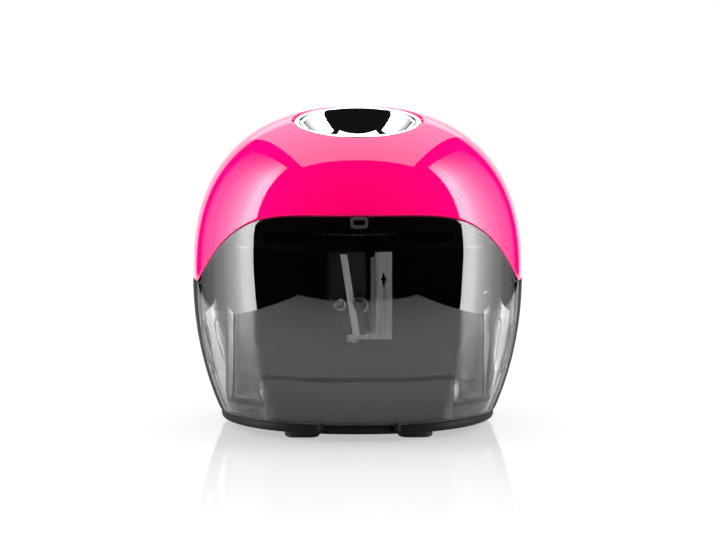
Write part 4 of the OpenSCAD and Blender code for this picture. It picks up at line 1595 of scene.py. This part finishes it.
@dataclass(frozen=True)
class Softbox:
    """An area lamp whose brightness runs along its first side.

    Its corner and its two sides from there are in metres. The stops are (place,
    brightness) from the first side's start to its end. The fade is the share of the
    second side, next to the corner, that dims down to the level dim.
    """

    name: str
    corner: Point
    along: Point
    across: Point
    stops: tuple[Pair, ...]
    fade: float = 0.0
    dim: float = 0.3

    def hang(self) -> Object:
        """Adds the lamp, which shines towards the object.

        The camera doesn't see it, and neither do the rays that the window refracts,
        which would otherwise show it as bright patches in the window.

        Returns:
            The lamp.
        """
        corner, along, across = map(Vector, (self.corner, self.along, self.across))
        centre = corner + (along + across) / 2
        x = along.normalized()
        y = (across - x * across.dot(x)).normalized()
        if x.cross(y).dot(centre) < 0:
            y = -y
        Bench.clear()
        bpy.ops.object.light_add(type="AREA", location=centre)
        lamp = Bench.named(self.name)
        turn = Matrix((x, y, x.cross(y))).transposed().to_4x4()
        lamp.matrix_world = Matrix.Translation(centre) @ turn
        lamp.data.shape = "RECTANGLE"
        lamp.data.size, lamp.data.size_y = along.length, across.length
        top = max(level for _, level in self.stops)
        lamp.data.energy = math.pi * along.length * across.length * top
        lamp.data.use_nodes = True
        lamp.data.node_tree.nodes.clear()
        tree = Tree(lamp.data.node_tree)
        over = tree.apart(tree.add("ShaderNodeNewGeometry").outputs["Parametric"])
        level = tree.steps(
            over.outputs["X"], [(place, value / top) for place, value in self.stops]
        )
        if self.fade:
            near = 0.0 if y.dot(across) > 0 else 1.0
            edge = tree.span(
                over.outputs["Y"], (near, abs(near - self.fade)), (self.dim, 1.0)
            )
            level = tree.math("MULTIPLY", level, edge)
        tree.end(tree.glow(level), "ShaderNodeOutputLight")
        lamp.visible_camera = False
        lamp.visible_transmission = False
        return lamp


@dataclass
class Stage:
    """The white table, the lamps and the camera. Lengths in metres."""

    table_half: float = 0.205
    table_front: float = -0.325
    table_back: float = 0.42
    table_drop: float = 0.0002
    table_seen: float = 0.66
    table_matt: float = 0.22
    table_plain: float = 0.66
    table_shine: float = 0.06
    mirror_y: Pair = (-0.25, 0.0)
    mirror: tuple[Pair, ...] = (
        (0.0, 0.0), (0.08, 0.01), (0.264, 0.06), (0.448, 0.13), (0.584, 0.17),
        (0.724, 0.22), (0.816, 0.27),
    )
    studio_y: Pair = (0.895, 0.92)
    studio_level: Pair = (0.007, 1.0)
    studio_soft: float = 0.42
    above: tuple[Pair, ...] = (
        (0.0, 3.3), (0.2, 3.2), (0.35, 2.5), (0.6, 1.4), (0.8, 0.9), (1.0, 0.7),
    )
    beside: tuple[Pair, ...] = (
        (0.0, 10.5), (0.06, 11.5), (0.105, 11.0), (0.16, 7.5), (0.21, 5.5),
        (0.273, 4.0), (0.341, 2.6), (0.533, 1.0), (0.88, 0.28), (1.0, 0.2),
    )
    beside_fade: float = 0.3
    camera_far: float = 1.6
    camera_rise: float = 8
    camera_turn: float = -0.7
    camera_aim: Point = (0.8, 0, 46.6)
    camera_lens: float = 250.8
    camera_clip: Pair = (0.05, 20)

    def build(self) -> None:
        """Makes everything that isn't part of the sharpener."""
        bpy.context.scene.view_settings.view_transform = "Standard"
        self.table()
        self.world()
        self.lamps()
        self.camera()

    def table(self) -> None:
        """Makes a glossy white table top whose mirror image fades towards the viewer."""
        Bench.clear()
        bpy.ops.mesh.primitive_plane_add(size=1, location=(0, 0, 0))
        floor = Bench.named("table_top")
        depth = {-0.5: self.table_front, 0.5: self.table_back}
        for v in floor.data.vertices:
            x, y = v.co.x * 2 * self.table_half, depth[round(v.co.y, 1)]
            v.co = Vector((x, y, -self.table_drop))
        floor.data.materials.append(self.table_finish())

    def table_finish(self) -> Material:
        """Makes the table's finish: bright and reflective to the viewer, plain to others.

        Returns:
            The material.
        """
        material, tree, place = start("white_table")
        ahead = tree.span(tree.apart(place).outputs["Y"], self.mirror_y)
        mirror = tree.steps(ahead, self.mirror)
        matt = tree.put(
            tree.add("ShaderNodeBsdfDiffuse"), Color=(*[self.table_matt] * 3, 1)
        )
        seen = tree.add("ShaderNodeAddShader")
        tree.feed(seen.inputs[0], tree.glow(self.table_seen).outputs[0])
        tree.feed(seen.inputs[1], matt.outputs[0])
        shine = tree.put(
            tree.add("ShaderNodeBsdfAnisotropic"),
            Color=(1, 1, 1, 1),
            Roughness=self.table_shine,
        )
        plain = tree.put(
            tree.add("ShaderNodeBsdfPrincipled"),
            Base_Color=(*[self.table_plain] * 3, 1),
            Roughness=0.05,
            IOR=1.5,
        )
        viewer = tree.add("ShaderNodeLightPath").outputs["Is Camera Ray"]
        tree.end(tree.either(viewer, plain, tree.either(mirror, seen, shine)))
        return material

    def world(self) -> None:
        """Makes a white studio behind the object and a dark one in front of it.

        The camera sees plain white, and matt surfaces get one soft level of light.
        """
        world = bpy.data.worlds.new("studio")
        bpy.context.scene.world = world
        world.use_nodes = True
        world.node_tree.nodes.clear()
        tree = Tree(world.node_tree)
        way = tree.apart(tree.add("ShaderNodeTexCoord").outputs["Generated"])
        behind = tree.span(way.outputs["Y"], self.studio_y, self.studio_level)
        light = tree.add("ShaderNodeLightPath").outputs
        sharp = tree.math("MAXIMUM", light["Is Glossy Ray"], light["Is Transmission Ray"])
        level = tree.mix(Mixed.NUMBER, sharp, self.studio_soft, behind)
        final = tree.mix(Mixed.NUMBER, light["Is Camera Ray"], level, 1.0)
        shade = tree.put(
            tree.add("ShaderNodeBackground"), Color=(1, 1, 1, 1), Strength=final
        )
        tree.end(shade, "ShaderNodeOutputWorld")

    def lamps(self) -> None:
        """Hangs a wide softbox overhead and stands one at each side."""
        Softbox(
            "softbox_above",
            corner=(-0.415, -0.13, 0.953),
            along=(0, 1.665, -0.573),
            across=(0.83, 0, 0),
            stops=self.above,
        ).hang()
        for side, name in ((-1, "softbox_left"), (1, "softbox_right")):
            Softbox(
                name,
                corner=(side * 0.6, -0.035, 1.014),
                along=(side * 0.11, 1.065, -0.24),
                across=(0, -0.26, -1.214),
                stops=self.beside,
                fade=self.beside_fade,
            ).hang()

    def camera(self) -> None:
        """Sets a long lens low in front of the object."""
        Bench.clear()
        rise, turn = math.radians(self.camera_rise), math.radians(self.camera_turn)
        level = math.cos(rise)
        back = Vector((math.sin(turn) * level, -math.cos(turn) * level, math.sin(rise)))
        aim = Vector(self.camera_aim) * MM
        bpy.ops.object.camera_add(location=aim + back * self.camera_far)
        camera = bpy.context.object
        camera.name = "camera"
        camera.rotation_euler = (-back).to_track_quat("-Z", "Y").to_euler()
        camera.data.lens = self.camera_lens
        camera.data.sensor_width = 36
        camera.data.clip_start, camera.data.clip_end = self.camera_clip
        bpy.context.scene.camera = camera


CAD_FINISHES: dict[str, Finish] = {
    "pencil_guide": Finishes.inner_black,
    "battery_door": Finishes.black_fine,
    **{f"cell_{number}": Finishes.jacket for number in range(1, 5)},
    "contact_plates": Finishes.nickel,
    "contact_springs": Finishes.nickel,
    "gear_deck": Finishes.deck,
    "gear_bridge": Finishes.deck,
    "bearing_bush": Finishes.bronze,
    "rotor_gear": Finishes.acetal,
    "idler_gear": Finishes.acetal,
    "idler_axle": Finishes.screw,
    "motor_can": Finishes.can,
    "motor_magnets": Finishes.ferrite,
    "motor_armature": Finishes.copper,
    "motor_end_cap": Finishes.ivory,
    "motor_terminals": Finishes.nickel,
    "motor_shaft": Finishes.screw,
    "motor_pinion": Finishes.brass,
    "motor_screws": Finishes.screw,
    "start_lever": Finishes.acetal,
    "lever_pin": Finishes.screw,
    "lever_spring": Finishes.nickel,
    "micro_switch": Finishes.inner_black,
    "switch_button": Finishes.red,
    "switch_terminals": Finishes.nickel,
    "safety_plunger": Finishes.acetal,
    "plunger_spring": Finishes.nickel,
    "safety_switch": Finishes.inner_black,
    "deck_screws": Finishes.screw,
    "cover_screws": Finishes.screw,
    "bridge_screws": Finishes.screw,
    "housing_screws": Finishes.screw,
}


def main() -> None:
    """Builds the whole scene."""
    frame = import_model()
    nodes = frame["nodes"]
    for name, finish in CAD_FINISHES.items():
        dress(nodes[name], finish)
    for assembly in (Cover(), Container(), Housing(), Base(), Cutter()):
        assembly.build(nodes)
    Stage().build()


if __name__ == "__main__":
    main()
